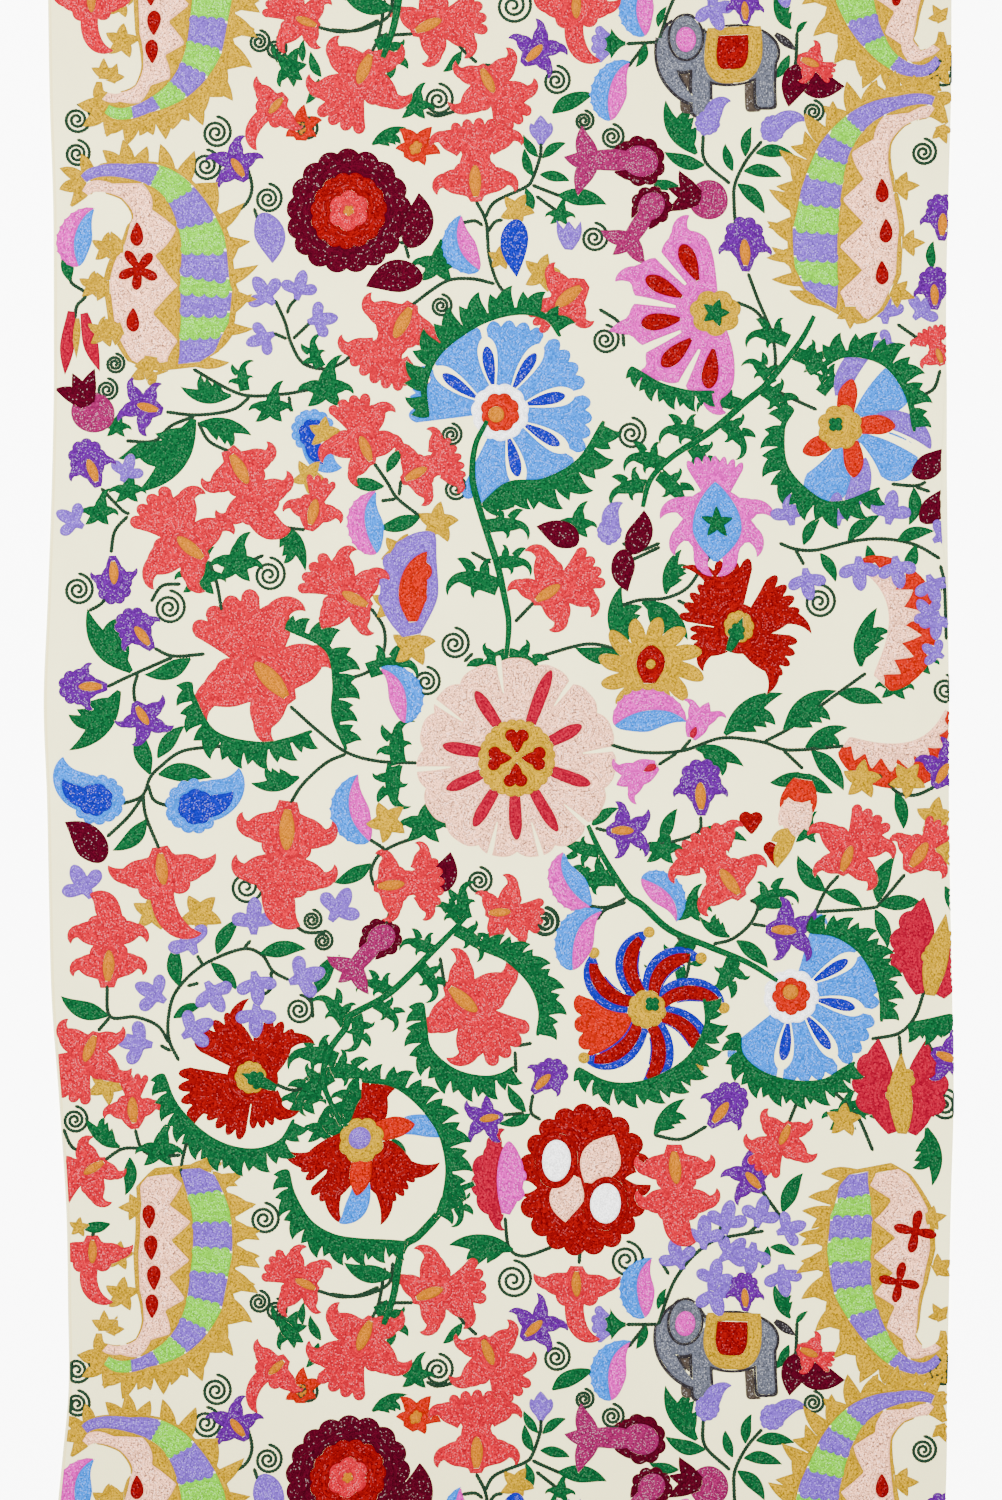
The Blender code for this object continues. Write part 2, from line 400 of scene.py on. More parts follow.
SHAPES = {
    "lily": (("coral", (
        Blade(0, -2, 0, 76, 38, 0, 0.35, 0.5, 0.6), Disc(0, 24, 18),
        Petal(4, 18, 68, 50, 30, 92), Petal(-4, 18, -70, 50, 30, -92), Disc(-14, 34, 11), Disc(14, 34, 11),
        Fan(0, 22, 2, 74, 58, 5, 0.1, 18, 0.0),
        Petal(14, 62, 56, 44, 26, 84), Petal(-14, 62, -56, 44, 26, -84),
    )), PISTIL),
    "trumpet": (("coral", (
        Blade(0, -2, 0, 60, 34, 0, 0.3, 0.5, 0.8), Disc(0, 30, 20),
        Fan(0, 22, 6, 76, 52, 4, 0.1, 18, 0.0), Petal(8, 44, 52, 56, 34, 84), Petal(4, 22, 92, 54, 34, 88),
        Petal(-4, 28, -58, 64, 36, -80), Petal(-2, 14, -112, 46, 28, -70),
        Disc(20, 50, 11), Disc(-20, 48, 11),
    )), PISTIL),
    "tailed_lily": (("coral", (
        Disc(0, 26, 25), Blade(0, -4, 0, 50, 36, 0, 0.5, 0.5, 0.7),
        Petal(8, 22, 82, 54, 34, 50), Petal(-8, 24, -80, 56, 34, -50),
        Disc(18, 42, 13), Disc(-18, 42, 13), Blade(2, 38, 12, 88, 28, -108, 1.0, 0.35, 0.7),
    )), PISTIL),
    "tiered_lily": (("coral", (
        Blade(0, -4, 0, 104, 34, 0, 0.5, 0.4, 0.7), Disc(0, 22, 19),
        Petal(4, 18, 66, 46, 28, 96), Petal(-4, 18, -66, 46, 28, -96), Disc(-13, 38, 10), Disc(13, 38, 10),
        Petal(4, 56, 66, 48, 28, 88), Petal(-4, 56, -66, 48, 28, -88), Disc(-13, 72, 11), Disc(13, 72, 11),
        Blade(4, 76, -8, 44, 30, -80, 1.0, 0.35, 0.8),
    )), PISTIL),
    "lily_bud": (("coral", (
        Blade(0, -2, 0, 62, 42, 0, 0.3, 0.42, 0.7), Disc(0, 32, 22), Petal(4, 26, 66, 48, 30, 84),
        Petal(-4, 26, -64, 48, 30, -84), Fan(0, 24, 4, 64, 50, 4, 0.12, 16, 0.0), Disc(-14, 44, 11),
    )), SHORT_PISTIL),
    "iris": (("purple", (
        Disc(0, 54, 33, 9, 0.14), Disc(0, 38, 24),
        Petal(14, 42, 98, 32, 20, 60), Petal(-14, 42, -98, 32, 20, -60),
        Blade(0, -2, 0, 46, 30, 0, 0.4, 0.6, 0.7),
    )), SHORT_PISTIL),
    "open_iris": (("purple", (
        Blade(0, -2, 0, 60, 42, 0, 0.3, 0.5, 0.7), Disc(0, 36, 22), Petal(-4, 28, -80, 52, 30, -60),
        Petal(4, 28, 84, 50, 28, 60), Petal(-2, 42, -28, 52, 30, -50), Petal(4, 42, 34, 52, 30, 60),
    )), SHORT_PISTIL),
    "trefoil": (("lavender", (
        Blade(0, -6, 0, 96, 40, 0, 0.4, 0.66, 0.5), Pair(0, 24, 74, 58, 36, -10, 0.6, 0.66, 0.5),
        Blade(-2, 10, -30, 40, 24, 0, 0.5, 0.5, 0.6),
    )),),
    "lavender_bud": (("lavender", (
        Blade(0, 0, 0, 100, 56, 0, 0.3, 0.5, 0.8), Pair(4, 20, 40, 62, 32, -30, 0.7, 0.5, 0.7),
    )),),
    "lavender_drop": (("lavender", (Blade(0, 0, 0, 104, 62, -44, 0.0, 0.6, 0.5),)),),
    "lavender_curl": (("lavender", (
        Disc(0, 34, 32, 11, 0.08), Blade(0, 0, 0, 50, 36, 0, 0.3, 0.5, 0.7),
        Blade(4, 44, -8, 80, 46, 96, 1.0, 0.2, 0.9),
    )),),
    "calyx_flower": (
        ("lavender", (Fan(0, 12, 0, 86, 84, 4, 0.12, 30, 0.0), Disc(0, 62, 30))),
        ("leaf", (Fan(0, 0, 0, 52, 92, 3, -0.2, 12, 0.1),)),
    ),
    "leaf": (("leaf", (Blade(0, 0, 0, 106, 37, 34, 0.12, 0.42, 1.0),)),),
    "ruffled_leaf": (("leaf", (
        Blade(0, 0, 0, 112, 31, 40, 0.2, 0.4, 1.0), Blade(2, 22, 58, 36, 20, 30, 1.0, 0.25, 1.0),
        Blade(9, 42, 66, 36, 20, 30, 1.0, 0.25, 1.0), Blade(20, 60, 76, 32, 18, 30, 1.0, 0.25, 1.0),
    )),),
    "hooked_leaf": (("leaf", (
        Petal(0, -4, 6, 108, 33, 84), Petal(-2, 26, -54, 38, 20, -70), Petal(8, 34, 84, 32, 18, 50),
        Blade(0, 52, -32, 38, 20, 60, 1.0, 0.25, 0.9),
    )),),
    "star_leaf": (("leaf", (
        Petal(0, -6, 4, 78, 34, 40), Petal(0, 10, 78, 52, 26, 60), Petal(0, 10, -74, 52, 26, -60),
        Blade(0, 10, 148, 44, 26, -20, 1.0, 0.25, 1.0), Blade(0, 10, -140, 48, 26, 20, 1.0, 0.25, 1.0),
    )),),
    "star": (("yellow", tuple(
        Blade(0, 0, turn, 54, 36, 20, 1.0, 0.25, 0.8) for turn in (0, 74, 146, 218, 290)
    )),),
    "tuft": (("yellow", (
        Blade(0, -20, 0, 86, 44, 0, 1.0, 0.3, 1.0), Pair(4, 0, 58, 52, 36, 12, 1.0, 0.2, 1.0),
    )),),
    "drop": (("burgundy", (Blade(0, 0, 0, 108, 62, 50, 0.0, 0.6, 0.5),)),),
    "royal_drop": (("royal", (Blade(0, 0, 0, 104, 50, 16, 0.0, 0.64, 0.5),)),),
    "red_drop": (("crimson", (Blade(0, 0, 0, 100, 56, 0, 0.1, 0.66, 0.5),)),),
    "red_cross": (("crimson", tuple(
        Blade(0, 0, turn, 54, 25, 0, 0.5, 0.66, 0.5) for turn in (12, 102, 192, 282)
    )),),
    "red_flower": (("crimson", tuple(
        Blade(0, 0, turn, 56, 27, 0, 0.5, 0.66, 0.5) for turn in (-34, 42, 116, 184, 246)
    )),),
    "heart": (("crimson", (
        Disc(-22, 66, 28), Disc(22, 66, 28), Blade(0, 0, 0, 84, 84, 0, 0.1, 0.74, 0.6),
    )),),
    "orange_flower": (("orange", (
        Blade(0, -2, 0, 56, 52, 0, 0.5, 0.5, 0.6), Blade(-4, 34, -52, 58, 36, -50, 1.0, 0.3, 0.9),
        Blade(0, 34, 0, 62, 36, 20, 1.0, 0.3, 0.9), Blade(4, 34, 54, 58, 36, 50, 1.0, 0.3, 0.9),
        Pair(0, 26, 100, 46, 30, 40, 1.0, 0.3, 0.9),
    )), ("amber", (Disc(0, 32, 14, 5, 0.25, 1.3),))),
    "yellow_flower": (
        ("yellow", (
            *(Blade(0, 0, turn, 52 + turn % 7, 17, 34, 0.8, 0.7, 0.5) for turn in range(0, 360, 30)),
            Disc(0, 0, 30),
        )),
        ("crimson", (Blade(0, -18, 0, 40, 30, 0, 0.4, 0.55, 0.6),)), ("yellow", (Disc(0, 2, 5),)),
    ),
    "pink_tulip": (("pink", (
        Blade(0, 0, 0, 70, 46, 0, 0.4, 0.45, 0.8), Petal(6, 34, 22, 54, 26, 70),
        Petal(-6, 34, -24, 54, 26, -70), Blade(0, 40, 0, 42, 26),
    )), ("raspberry", (Blade(0, 2, 0, 26, 14, 0, 0.4, 0.4, 1.0),))),
    "lavender_tulip": (("lavender", (
        Blade(0, 0, 0, 92, 58, 0, 0.4, 0.35, 1.0), Pair(8, 14, 26, 84, 30, -14, 0.6, 0.35, 1.1),
    )),),
    "plum_flower": (
        ("burgundy", (Disc(0, 74, 28, 9, 0.13), Disc(0, 60, 20))),
        ("plum", (
            Disc(0, 74, 17, 0, 0.0, 1.15), Blade(0, 12, 0, 66, 24, 0, 0.7, 0.5, 0.7),
            Blade(0, 22, -120, 42, 22, 34, 0.9, 0.3, 1.0), Blade(0, 22, 126, 42, 22, -30, 0.9, 0.3, 1.0),
            Blade(0, 24, 182, 34, 20, 20, 0.9, 0.3, 1.0),
        )),
    ),
    "pomegranate": (
        ("plum", (Disc(0, 36, 32),)),
        ("burgundy", (
            Blade(0, 56, -34, 52, 26, -18, 1.0, 0.3, 1.0), Blade(0, 56, 2, 48, 24, 0, 1.0, 0.3, 1.0),
            Blade(0, 56, 36, 52, 26, 20, 1.0, 0.3, 1.0), Disc(0, 60, 17, 0, 0.0, 0.7),
        )),
    ),
    "butterfly": (
        ("raspberry", (
            Pair(6, 2, 20, 66, 40, -10, 0.5, 0.5, 0.9), Pair(22, 22, 8, 84, 40, -14, 0.7, 0.4, 0.9),
            Disc(-36, 36, 14), Disc(36, 36, 14), Disc(-40, 56, 14), Disc(40, 56, 14),
            Disc(-36, 76, 13), Disc(36, 76, 13),
        )),
        ("yellow", (
            Blade(0, 0, 0, 92, 26, 0, 0.4, 0.4, 1.0), Disc(-4, 44, 13, 5, 0.2), Disc(5, 62, 12, 5, 0.2),
        )),
    ),
    "narrow_butterfly": (
        ("raspberry", (
            Blade(-10, 96, 184, 104, 24, 4, 0.5, 0.5, 1.0), Blade(10, 92, 166, 100, 24, -4, 0.5, 0.5, 1.0),
        )),
        ("yellow", (Blade(0, 84, 180, 66, 12, 0, 0.5, 0.4, 1.0),)),
    ),
    "blue_paisley": (
        ("sky", (
            Disc(4, 40, 40, 13, 0.1), Blade(6, 50, -14, 84, 58, 92, 1.0, 0.2, 0.9),
            Blade(0, 0, 4, 50, 30, 0, 0.3, 0.5, 0.7),
        )),
        ("royal", (Disc(2, 44, 26, 7, 0.12), Blade(-4, 58, -10, 46, 30, 50, 1.0, 0.2, 0.9))),
    ),
    "bean": (
        ("lavender", (
            Blade(0, 0, -30, 116, 62, 60, 0.3, 0.42, 0.6),
            *(Disc(x, y, 10) for x, y in ((-38, 28), (-46, 46), (-46, 64), (-38, 82))),
        )),
        ("orange", (
            Blade(-4, 14, -26, 78, 30, 48, 0.3, 0.42, 0.8),
            Disc(-10, 40, 11), Disc(-14, 54, 11), Disc(-12, 68, 10),
        )),
    ),
    "orange_tulip": (
        ("leaf", (Pair(4, 0, 58, 54, 22, 20, 0.6, 0.4, 1.0), Blade(0, -4, 0, 50, 30))),
        ("orange", (Blade(0, 6, 0, 84, 60, 0, 0.5, 0.45, 0.8),)),
        ("blush", (Blade(0, 44, 0, 60, 46, 0, 1.0, 0.3, 0.7), Pair(6, 44, 26, 46, 26, -14, 1.0, 0.3, 0.8))),
        ("yellow", (
            Blade(0, 96, 30, 62, 26, -40, 0.6, 0.4, 0.8), Blade(4, 92, 54, 36, 20, 0, 0.6, 0.4, 0.8),
        )),
    ),
    "half_flower": (
        ("raspberry", (
            Disc(-6, 26, 20), Disc(-16, 44, 18), Disc(-14, 64, 18), Disc(-2, 80, 16),
            Petal(-4, 84, 2, 34, 20, 60), Petal(0, 20, 186, 34, 20, -60),
        )),
        ("pink", (
            Blade(12, 8, 6, 92, 34, -10, 0.3, 0.5, 0.6),
            Disc(24, 34, 10), Disc(26, 56, 10), Disc(20, 74, 9),
        )),
    ),
}


def hooked(pen, petal):
    """A petal whose tip curls over to one side."""
    x, y, heading, length, width, hook = petal
    reach = length * 0.5
    turn = math.radians(heading + hook * 0.08)
    return [
        pen.blade(x, y, heading, length * 0.78, width, hook * 0.3, base=1, fullest=0.45, tip=0.55),
        pen.blade(
            x + math.sin(turn) * reach, y + math.cos(turn) * reach, heading + hook * 0.1, length * 0.62,
            width * 0.58, hook * 1.5, base=1, fullest=0.15, tip=0.9, bend=1.3,
        ),
    ]


def drawn(shape, pen):
    """The patches of a motif from its table."""
    patches = []
    for colour, rows in shape:
        loops = []
        for row in rows:
            if isinstance(row, Petal):
                loops += hooked(pen, row)
            elif isinstance(row, Disc):
                loops.append(pen.disc(*row))
            elif isinstance(row, Fan):
                loops.append(pen.fan(*row))
            elif isinstance(row, Pair):
                loops += pen.both(*row[:6], base=row.base, fullest=row.fullest, tip=row.tip, bend=1.6)
            else:
                loops.append(pen.blade(*row[:6], base=row.base, fullest=row.fullest, tip=row.tip, bend=1.6))
        patches.append((colour, loops))
    return patches


def half_moon(pen, outer="sky", inner="pink"):
    """A leaf in two colours with a scalloped back."""
    shape = {"base": 0.1, "start": 0.6, "fullest": 0.42, "tip": 0.9, "bend": 1.4, "detail": 40}
    spine = pen.spine(0, 0, -34, 120, 64, 88, **shape)
    return [(outer, [pen.band(spine, low=scallop(11, -1.04, -0.94), high=0.02)]),
            (inner, [pen.band(spine, low=0.02, high=1)])]


def pink_moon(pen):
    return half_moon(pen, "pink", "sky")


def pod(pen):
    """A curved pod: orange along its back and blush inside, with points where they meet."""
    shape = {"base": 0.4, "start": 0.7, "fullest": 0.42, "tip": 0.7, "bend": 1.3, "detail": 48}
    spine = pen.spine(0, 0, -46, 146, 64, 132, **shape)
    points = zigzag(8, -0.46, 0.06, 0.4)
    return [("orange", [pen.band(spine, high=points)]), ("blush", [pen.band(spine, low=points, high=0.56)])]


def frilled(pen, x, y, heading, length, spread, teeth, depth=0.2):
    """A petal with a row of small lobes along its end."""
    share = np.linspace(0, 1, teeth * 6 + 1)
    turn = np.radians(heading + (share - 0.5) * spread)
    reach = length * (1 - depth + depth * np.abs(np.sin(np.pi * teeth * share)) ** 0.8)
    rim_x, rim_y = x + np.sin(turn) * reach, y + np.cos(turn) * reach
    return pen.put(np.concatenate([[x], rim_x]), np.concatenate([[y], rim_y]))


def red_carnation(pen):
    """A carnation with ruffled, hooked petals round a green and yellow heart."""
    petals = [pen.disc(0, 24, 24)]
    places = ((-128, 46, -60), (-80, 58, 70), (-32, 70, -50), (30, 66, 60), (92, 60, 60))
    for heading, length, hook in places:
        petals.append(frilled(pen, 0, 22, heading, length, 46, 4, 0.14))
        petals += hooked(pen, Petal(0, 22, heading + hook * 0.2, length * 1.12, 26, hook))
    heart = [pen.disc(0, 20, 9, 5, 0.3), pen.blade(0, 0, 0, 36, 11, 0, base=0.5)]
    return [("crimson", petals), ("yellow", [pen.disc(0, 26, 15, 9, 0.1)]), ("leaf", heart)]


def palmette(pen):
    """A frilled pink flower with a sky-blue drop and a green star."""
    petals = [pen.disc(0, -6, 34), frilled(pen, 0, 0, 0, 60, 62, 7, 0.12)]
    for side in (-1, 1):
        for heading, length in ((62, 58), (104, 56), (150, 56)):
            petals += hooked(pen, Petal(0, -4, side * heading, length, 28, side * 66))
    drop = [pen.blade(0, -44, 0, 78, 48, 0, base=0.1, fullest=0.42, tip=0.8)]
    star = rays(pen, range(0, 360, 72), 0, 17, 9, base=1, fullest=0.2)
    return [("pink", petals), ("sky", drop), ("leaf", [loop + (0, -6) for loop in star])]


def ring_of(pen, count, reach, radius, turned=0.0):
    """Discs in a ring round the motif's middle."""
    turns = np.linspace(0, 2 * np.pi, count, endpoint=False) + turned
    return [pen.disc(math.sin(turn) * reach, math.cos(turn) * reach, radius) for turn in turns]


def rosette(pen):
    return [
        ("burgundy", [pen.disc(0, 0, 44)] + ring_of(pen, 17, 40, 10.5)),
        ("crimson", [pen.disc(0, 0, 31, 15, 0.08)]),
        ("coral", ring_of(pen, 6, 9, 7.5) + [pen.disc(0, 0, 10)]),
        ("amber", [pen.disc(0, 0, 4.5, 5, 0.3)]),
    ]


def rays(pen, bearings, start, reach, width, **shape):
    """Blades that point outward from a ring round the motif's middle."""
    found = []
    for bearing in bearings:
        turn = math.radians(bearing)
        root_x, root_y = math.sin(turn) * start, math.cos(turn) * start
        found.append(pen.blade(root_x, root_y, bearing, reach - start, width, **shape))
    return found


def fan_flower(pen, count=7):
    """Sky-blue petals with royal drops between them, round a white and orange hub."""
    bearings = [-78 + 44 * number for number in range(count)]
    between = [bearing + 22 for bearing in bearings][:-1]
    petals = [frilled(pen, 0, 0, bearing, 92, 40, 4, 0.07) for bearing in bearings]
    gaps = rays(pen, between, 24, 78, 19, base=0.2, fullest=0.7, tip=0.5)
    drops = rays(pen, between, 28, 68, 12, base=0.3, fullest=0.66, tip=0.5)
    return [
        ("sky", petals), ("bare", gaps), ("royal", drops), ("white", [pen.disc(0, 0, 29, 11, 0.08)]),
        ("orange", [pen.disc(0, 0, 20, 8, 0.14)]), ("amber", [pen.disc(-4, -2, 8)]),
    ]


def small_fan(pen):
    return fan_flower(pen, 5)


def medallion(pen):
    """Raspberry rays on a wide blush round, from a yellow disc with four hearts."""
    petals = [pen.disc(0, 0, 84)]
    petals += rays(pen, range(0, 360, 24), 50, 100, 50, base=0.9, fullest=0.5, tip=0.35)
    spokes = []
    reaches = {22: 96, 62: 74, 108: 79, 150: 83, 180: 82, 212: 79, 247: 75, 281: 76, 330: 79}
    for bearing, reach in reaches.items():
        spokes += rays(pen, [bearing], 34, reach, 13, base=0.8, fullest=0.6, tip=0.5)
    hearts = rays(pen, (0, 90, 180, 270), 5, 25, 14, base=0.1, fullest=0.7, tip=0.5)
    for turn in np.radians((0, 90, 180, 270)):
        for side in (-0.24, 0.24):
            hearts.append(pen.disc(math.sin(turn + side) * 23, math.cos(turn + side) * 23, 6.5))
    gaps = rays(pen, (36, 84, 132, 166, 196, 264, 306, 350), 66, 104, 5, base=0.2, fullest=0.9, tip=0.2)
    return [
        ("blush", petals), ("bare", gaps), ("raspberry", spokes), ("yellow", [pen.disc(0, 0, 39, 24, 0.05)]),
        ("crimson", hearts),
    ]


def pink_palmette(pen):
    """A fan of pink petals with crimson drops and narrow gaps."""
    bearings = (-26, -64, -100, -136, -176)
    petals = rays(pen, bearings, 12, 88, 50, base=0.4, fullest=0.72, tip=0.4)
    for bearing, hook in zip(bearings, (60, -50, 0, 50, -60)):
        turn = math.radians(bearing)
        petals += hooked(pen, Petal(math.sin(turn) * 60, math.cos(turn) * 60, bearing, 44, 30, hook))
    gaps = rays(pen, (-45, -82, -118, -156), 40, 100, 8, base=0.3, fullest=0.8, tip=0.3)
    drops = rays(pen, bearings, 36, 76, 17, base=0.2, fullest=0.66, tip=0.5)
    heart = [pen.disc(0, 0, 26, 7, 0.15, 0.9)]
    return [
        ("pink", petals), ("bare", gaps), ("crimson", drops), ("yellow", heart),
        ("leaf", rays(pen, range(20, 380, 72), 0, 15, 10, base=1, fullest=0.2)),
    ]


def crescent_fan(pen):
    """Sky-blue petals and lavender crescents on orange bases, round a yellow disc."""
    petals = rays(pen, (48, 122, 200), 14, 78, 46, base=0.4, fullest=0.7, tip=0.4)
    crescents = rays(pen, (-4, 78, 160), 34, 96, 22, base=0.7, fullest=0.45, tip=0.7, curl=84, bend=1.1)
    bases = rays(pen, (2, 82, 166, 238), 14, 50, 20, base=0.8, fullest=0.5, tip=0.6, curl=16)
    gaps = rays(pen, (22, 100, 144, 222), 20, 100, 9, base=0.5, fullest=0.8, tip=0.3, curl=30)
    return [
        ("sky", petals), ("bare", gaps), ("lavender", crescents), ("orange", bases),
        ("yellow", [pen.disc(-6, 2, 23, 8, 0.14)]), ("leaf", [pen.disc(-10, 5, 8, 4, 0.3)]),
    ]


def swirl_flower(pen):
    """Crimson crescents with royal-blue edges and yellow tips, turning round a yellow disc."""
    skirt = [pen.fan(2, -4, -106, 84, 62, 4, 0.1, 20, 0.1)]
    patches = [("orange", skirt), ("royal", []), ("crimson", []), ("yellow", [pen.disc(0, 0, 22, 9, 0.1)])]
    for bearing in (-66, -22, 22, 64, 112, 160, 208):
        turn = math.radians(bearing)
        x, y = math.sin(turn) * 14, math.cos(turn) * 14
        bend = {"base": 0.7, "fullest": 0.5, "tip": 0.7, "bend": 1.1}
        spine = pen.spine(x, y, bearing - 24, 88, 27, 112, **bend)
        patches[1][1].append(pen.band(spine))
        patches[2][1].append(pen.band(spine, 0.0, 0.86, -0.34, 0.86))
        patches[3][1].append(pen.disc(spine.x[-1], spine.y[-1], 6.5))
    return patches + [("leaf", [pen.disc(6, 6, 9, 4, 0.3)])]


def red_fan(pen):
    """Crimson petals with orange and blue crescents round a yellow disc."""
    petals = []
    for bearing, reach, hook in ((14, 66, 60), (126, 72, -50), (150, 74, 40), (214, 76, -50), (244, 70, 50)):
        petals += hooked(pen, Petal(0, 0, bearing, reach + 8, 32, hook))
        petals.append(frilled(pen, 0, 0, bearing, reach - 4, 26, 3, 0.1))
    blue = rays(pen, (70, 178), 40, 92, 22, base=0.7, fullest=0.5, tip=0.8, curl=70, bend=1.2)
    bases = rays(pen, (64, 176), 12, 56, 22, base=0.8, fullest=0.5, tip=0.7, curl=20)
    green = rays(pen, (96, 292, 334), 18, 50, 16, base=0.5, fullest=0.5, tip=0.9, curl=40)
    return [
        ("leaf", green), ("crimson", petals), ("sky", blue), ("orange", bases),
        ("yellow", [pen.disc(0, 0, 23, 8, 0.14)]), ("lavender", [pen.disc(-2, 2, 11)]),
    ]


def scalloped_flower(pen):
    """A wide crimson flower with two white eyes and blush lobes."""
    edge = [pen.disc(0, 0, 54, tall=1.16)]
    for turn in np.linspace(0, 2 * np.pi, 19, endpoint=False):
        edge.append(pen.disc(math.sin(turn) * 55, math.cos(turn) * 64, 11))
    notch = [pen.blade(66, 2, -92, 26, 12, 0, base=1), pen.blade(-66, -6, 92, 20, 12, 0, base=1)]
    lobes = [pen.blade(8, -4, 14, 52, 40, 20, base=0.4), pen.blade(-10, 4, 204, 46, 34, -30, base=0.4)]
    rims = [pen.disc(-28, 20, 21, tall=1.3), pen.disc(22, -24, 22, tall=1.2)]
    eyes = [pen.disc(-28, 20, 14, tall=1.45), pen.disc(22, -24, 15, tall=1.3)]
    return [("crimson", edge), ("bare", notch), ("blush", lobes), ("crimson", rims), ("white", eyes)]


def elephant(pen):
    """An elephant that faces left under a yellow and red cloth."""

    leg = {"base": 1, "fullest": 0.9, "tip": 0.2}

    def body(grow):
        return [
            pen.disc(12, 12, 46 + grow, tall=(29 + grow) / (46 + grow)),
            pen.disc(-37, 22, 24 + grow, tall=1.1),
            pen.blade(-56, 28, 186, 74 + grow, 17 + 2 * grow, -66, base=0.9, fullest=0.3, tip=0.4),
            pen.blade(-18, 4, 180, 52 + grow, 19 + 2 * grow, **leg),
            pen.blade(46, 6, 180, 48 + grow, 19 + 2 * grow, **leg),
            pen.disc(-35, 30, 17 + grow, tall=1.3),
        ]

    far_legs = [pen.blade(x, 4, 180, 50, 17, **leg) for x in (-31, 34)]
    cover = pen.blade(13, 40, 180, 56, 58, 0, base=0.92, fullest=0.5, tip=0.3)
    square = pen.blade(12, 32, 180, 34, 32, 0, base=0.94, fullest=0.5, tip=0.2)
    tail = pen.blade(54, 32, 126, 28, 9, 0, base=0.5)
    return [
        ("charcoal", [tail]), ("brown", far_legs), ("charcoal", body(2.2)), ("grey", body(-0.6)),
        ("charcoal", [pen.disc(-35, 30, 18.5, tall=1.3)]), ("grey", [pen.disc(-35, 30, 16, tall=1.35)]),
        ("pink", [pen.disc(-35, 28, 10, tall=1.25)]), ("yellow", [cover]), ("crimson", [square]),
    ]


# Lines of the layout: a spine through its bends, and what grows from its sides

Bend = namedtuple("Bend", "across down width")
STEP_PEN = Pen(0, 0, 100)


def spine_through(bends):
    """A spine through bends of the layout, for the pen whose unit is one step."""
    line = curve_through([(bend.across, bend.down) for bend in bends], 2.6)
    run = np.concatenate([[0], np.cumsum(np.hypot(*np.diff(line, axis=0).T))])
    stops = [run[np.hypot(line[:, 0] - bend.across, line[:, 1] + bend.down).argmin()] for bend in bends]
    ahead = np.gradient(line, axis=0)
    ahead /= np.maximum(np.hypot(*ahead.T), 1e-6)[:, None]
    half = np.interp(run, stops, [bend.width / 2 for bend in bends])
    return Spine(run / run[-1], line[:, 0], line[:, 1], ahead[:, 1], -ahead[:, 0], half)


def tapered(points, width, ends=0.3):
    """A spine through (across, down) places, full in the middle and narrow at both ends."""
    line = spine_through([Bend(x, y, width) for x, y in points])
    swell = ends + (1 - ends) * np.sin(np.pi * line.along) ** 0.5
    return line._replace(half=line.half * swell)


def sprout(spine, place, side, lean, length, width, curl=0, **shape):
    """A blade that grows from one side of a spine and leans toward the spine's end."""
    x, y, side_x, side_y, half = (np.interp(place, spine.along, value) for value in spine[1:])
    heading = math.degrees(math.atan2(side * side_x, side * side_y)) - side * lean
    root = side * half * 0.5
    root_x, root_y = x + side_x * root, y + side_y * root
    return STEP_PEN.blade(root_x, root_y, heading, length, width, -side * curl, **shape)


def toothed_arc(frill):
    """A green arc whose outer side stands up in curved teeth."""
    spine = tapered(frill.points, frill.size * 0.42)
    loops = [STEP_PEN.band(spine)]
    thorn = {"base": 1, "fullest": 0.08, "tip": 1.1, "bend": 1.4}
    for number in range(frill.teeth):
        place = (number + 0.5) / frill.teeth
        size = frill.size * (0.9 + 0.45 * math.sin(math.pi * place))
        loops.append(sprout(spine, place, frill.side, 6, size, size * 0.72, 56, **thorn))
        place -= 0.26 / frill.teeth
        loops.append(sprout(spine, place, frill.side, -12, size * 0.74, size * 0.6, 10, **thorn))
    return [("leaf", loops)]


def paisley(shape, bends):
    """A striped and toothed paisley: stripes along its outer side, drops on its inner side."""
    spine = spine_through([Bend(*bend) for bend in bends])
    side = shape.side
    teeth = []
    slim = {"base": 1, "fullest": 0.35, "tip": 0.9}
    for place in np.linspace(*shape.teeth_from_to, shape.teeth):
        size = shape.tooth * (0.8 + 0.4 * math.sin(math.pi * place))
        root = float(np.interp(place, spine.along, spine.half)) * 0.5
        for step, lean, share in ((0, 10, 1.0), (-0.02, -24, 0.86), (0.02, 40, 0.8)):
            length = size * share + root
            teeth.append(sprout(spine, place + step, side, lean, length, size * 0.66, 26, **slim))
    body = STEP_PEN.band(spine, low=-1, high=1)
    patches = [("yellow", teeth + [body])]
    low, high = sorted((0.14 * side, 0.9 * side))
    ends = np.array(shape.stripes)
    patches.append(("white", [STEP_PEN.band(spine, ends[0] + 0.002, ends[-1] - 0.003, low, high)]))
    for number, (start, end) in enumerate(zip(ends, ends[1:])):
        loops = [STEP_PEN.band(spine, start + 0.002, end - 0.003, low, high)]
        if number:
            x, y, side_x, side_y, half = (float(np.interp(start, spine.along, value)) for value in spine[1:])
            for share in (0.22, 0.4, 0.58, 0.76):
                reach = half * side * share
                loops.append(STEP_PEN.disc(x + side_x * reach, y + side_y * reach, half * 0.1))
        patches.append((("lavender", "lime")[number % 2], loops))
    points = zigzag(shape.points, -0.3 * side, 0.1 * side, 0.5)
    rim = -0.9 * side
    low, high = (rim, points) if side > 0 else (points, rim)
    patches.append(("blush", [STEP_PEN.band(spine, 0.03, 0.93, low, high)]))
    return patches


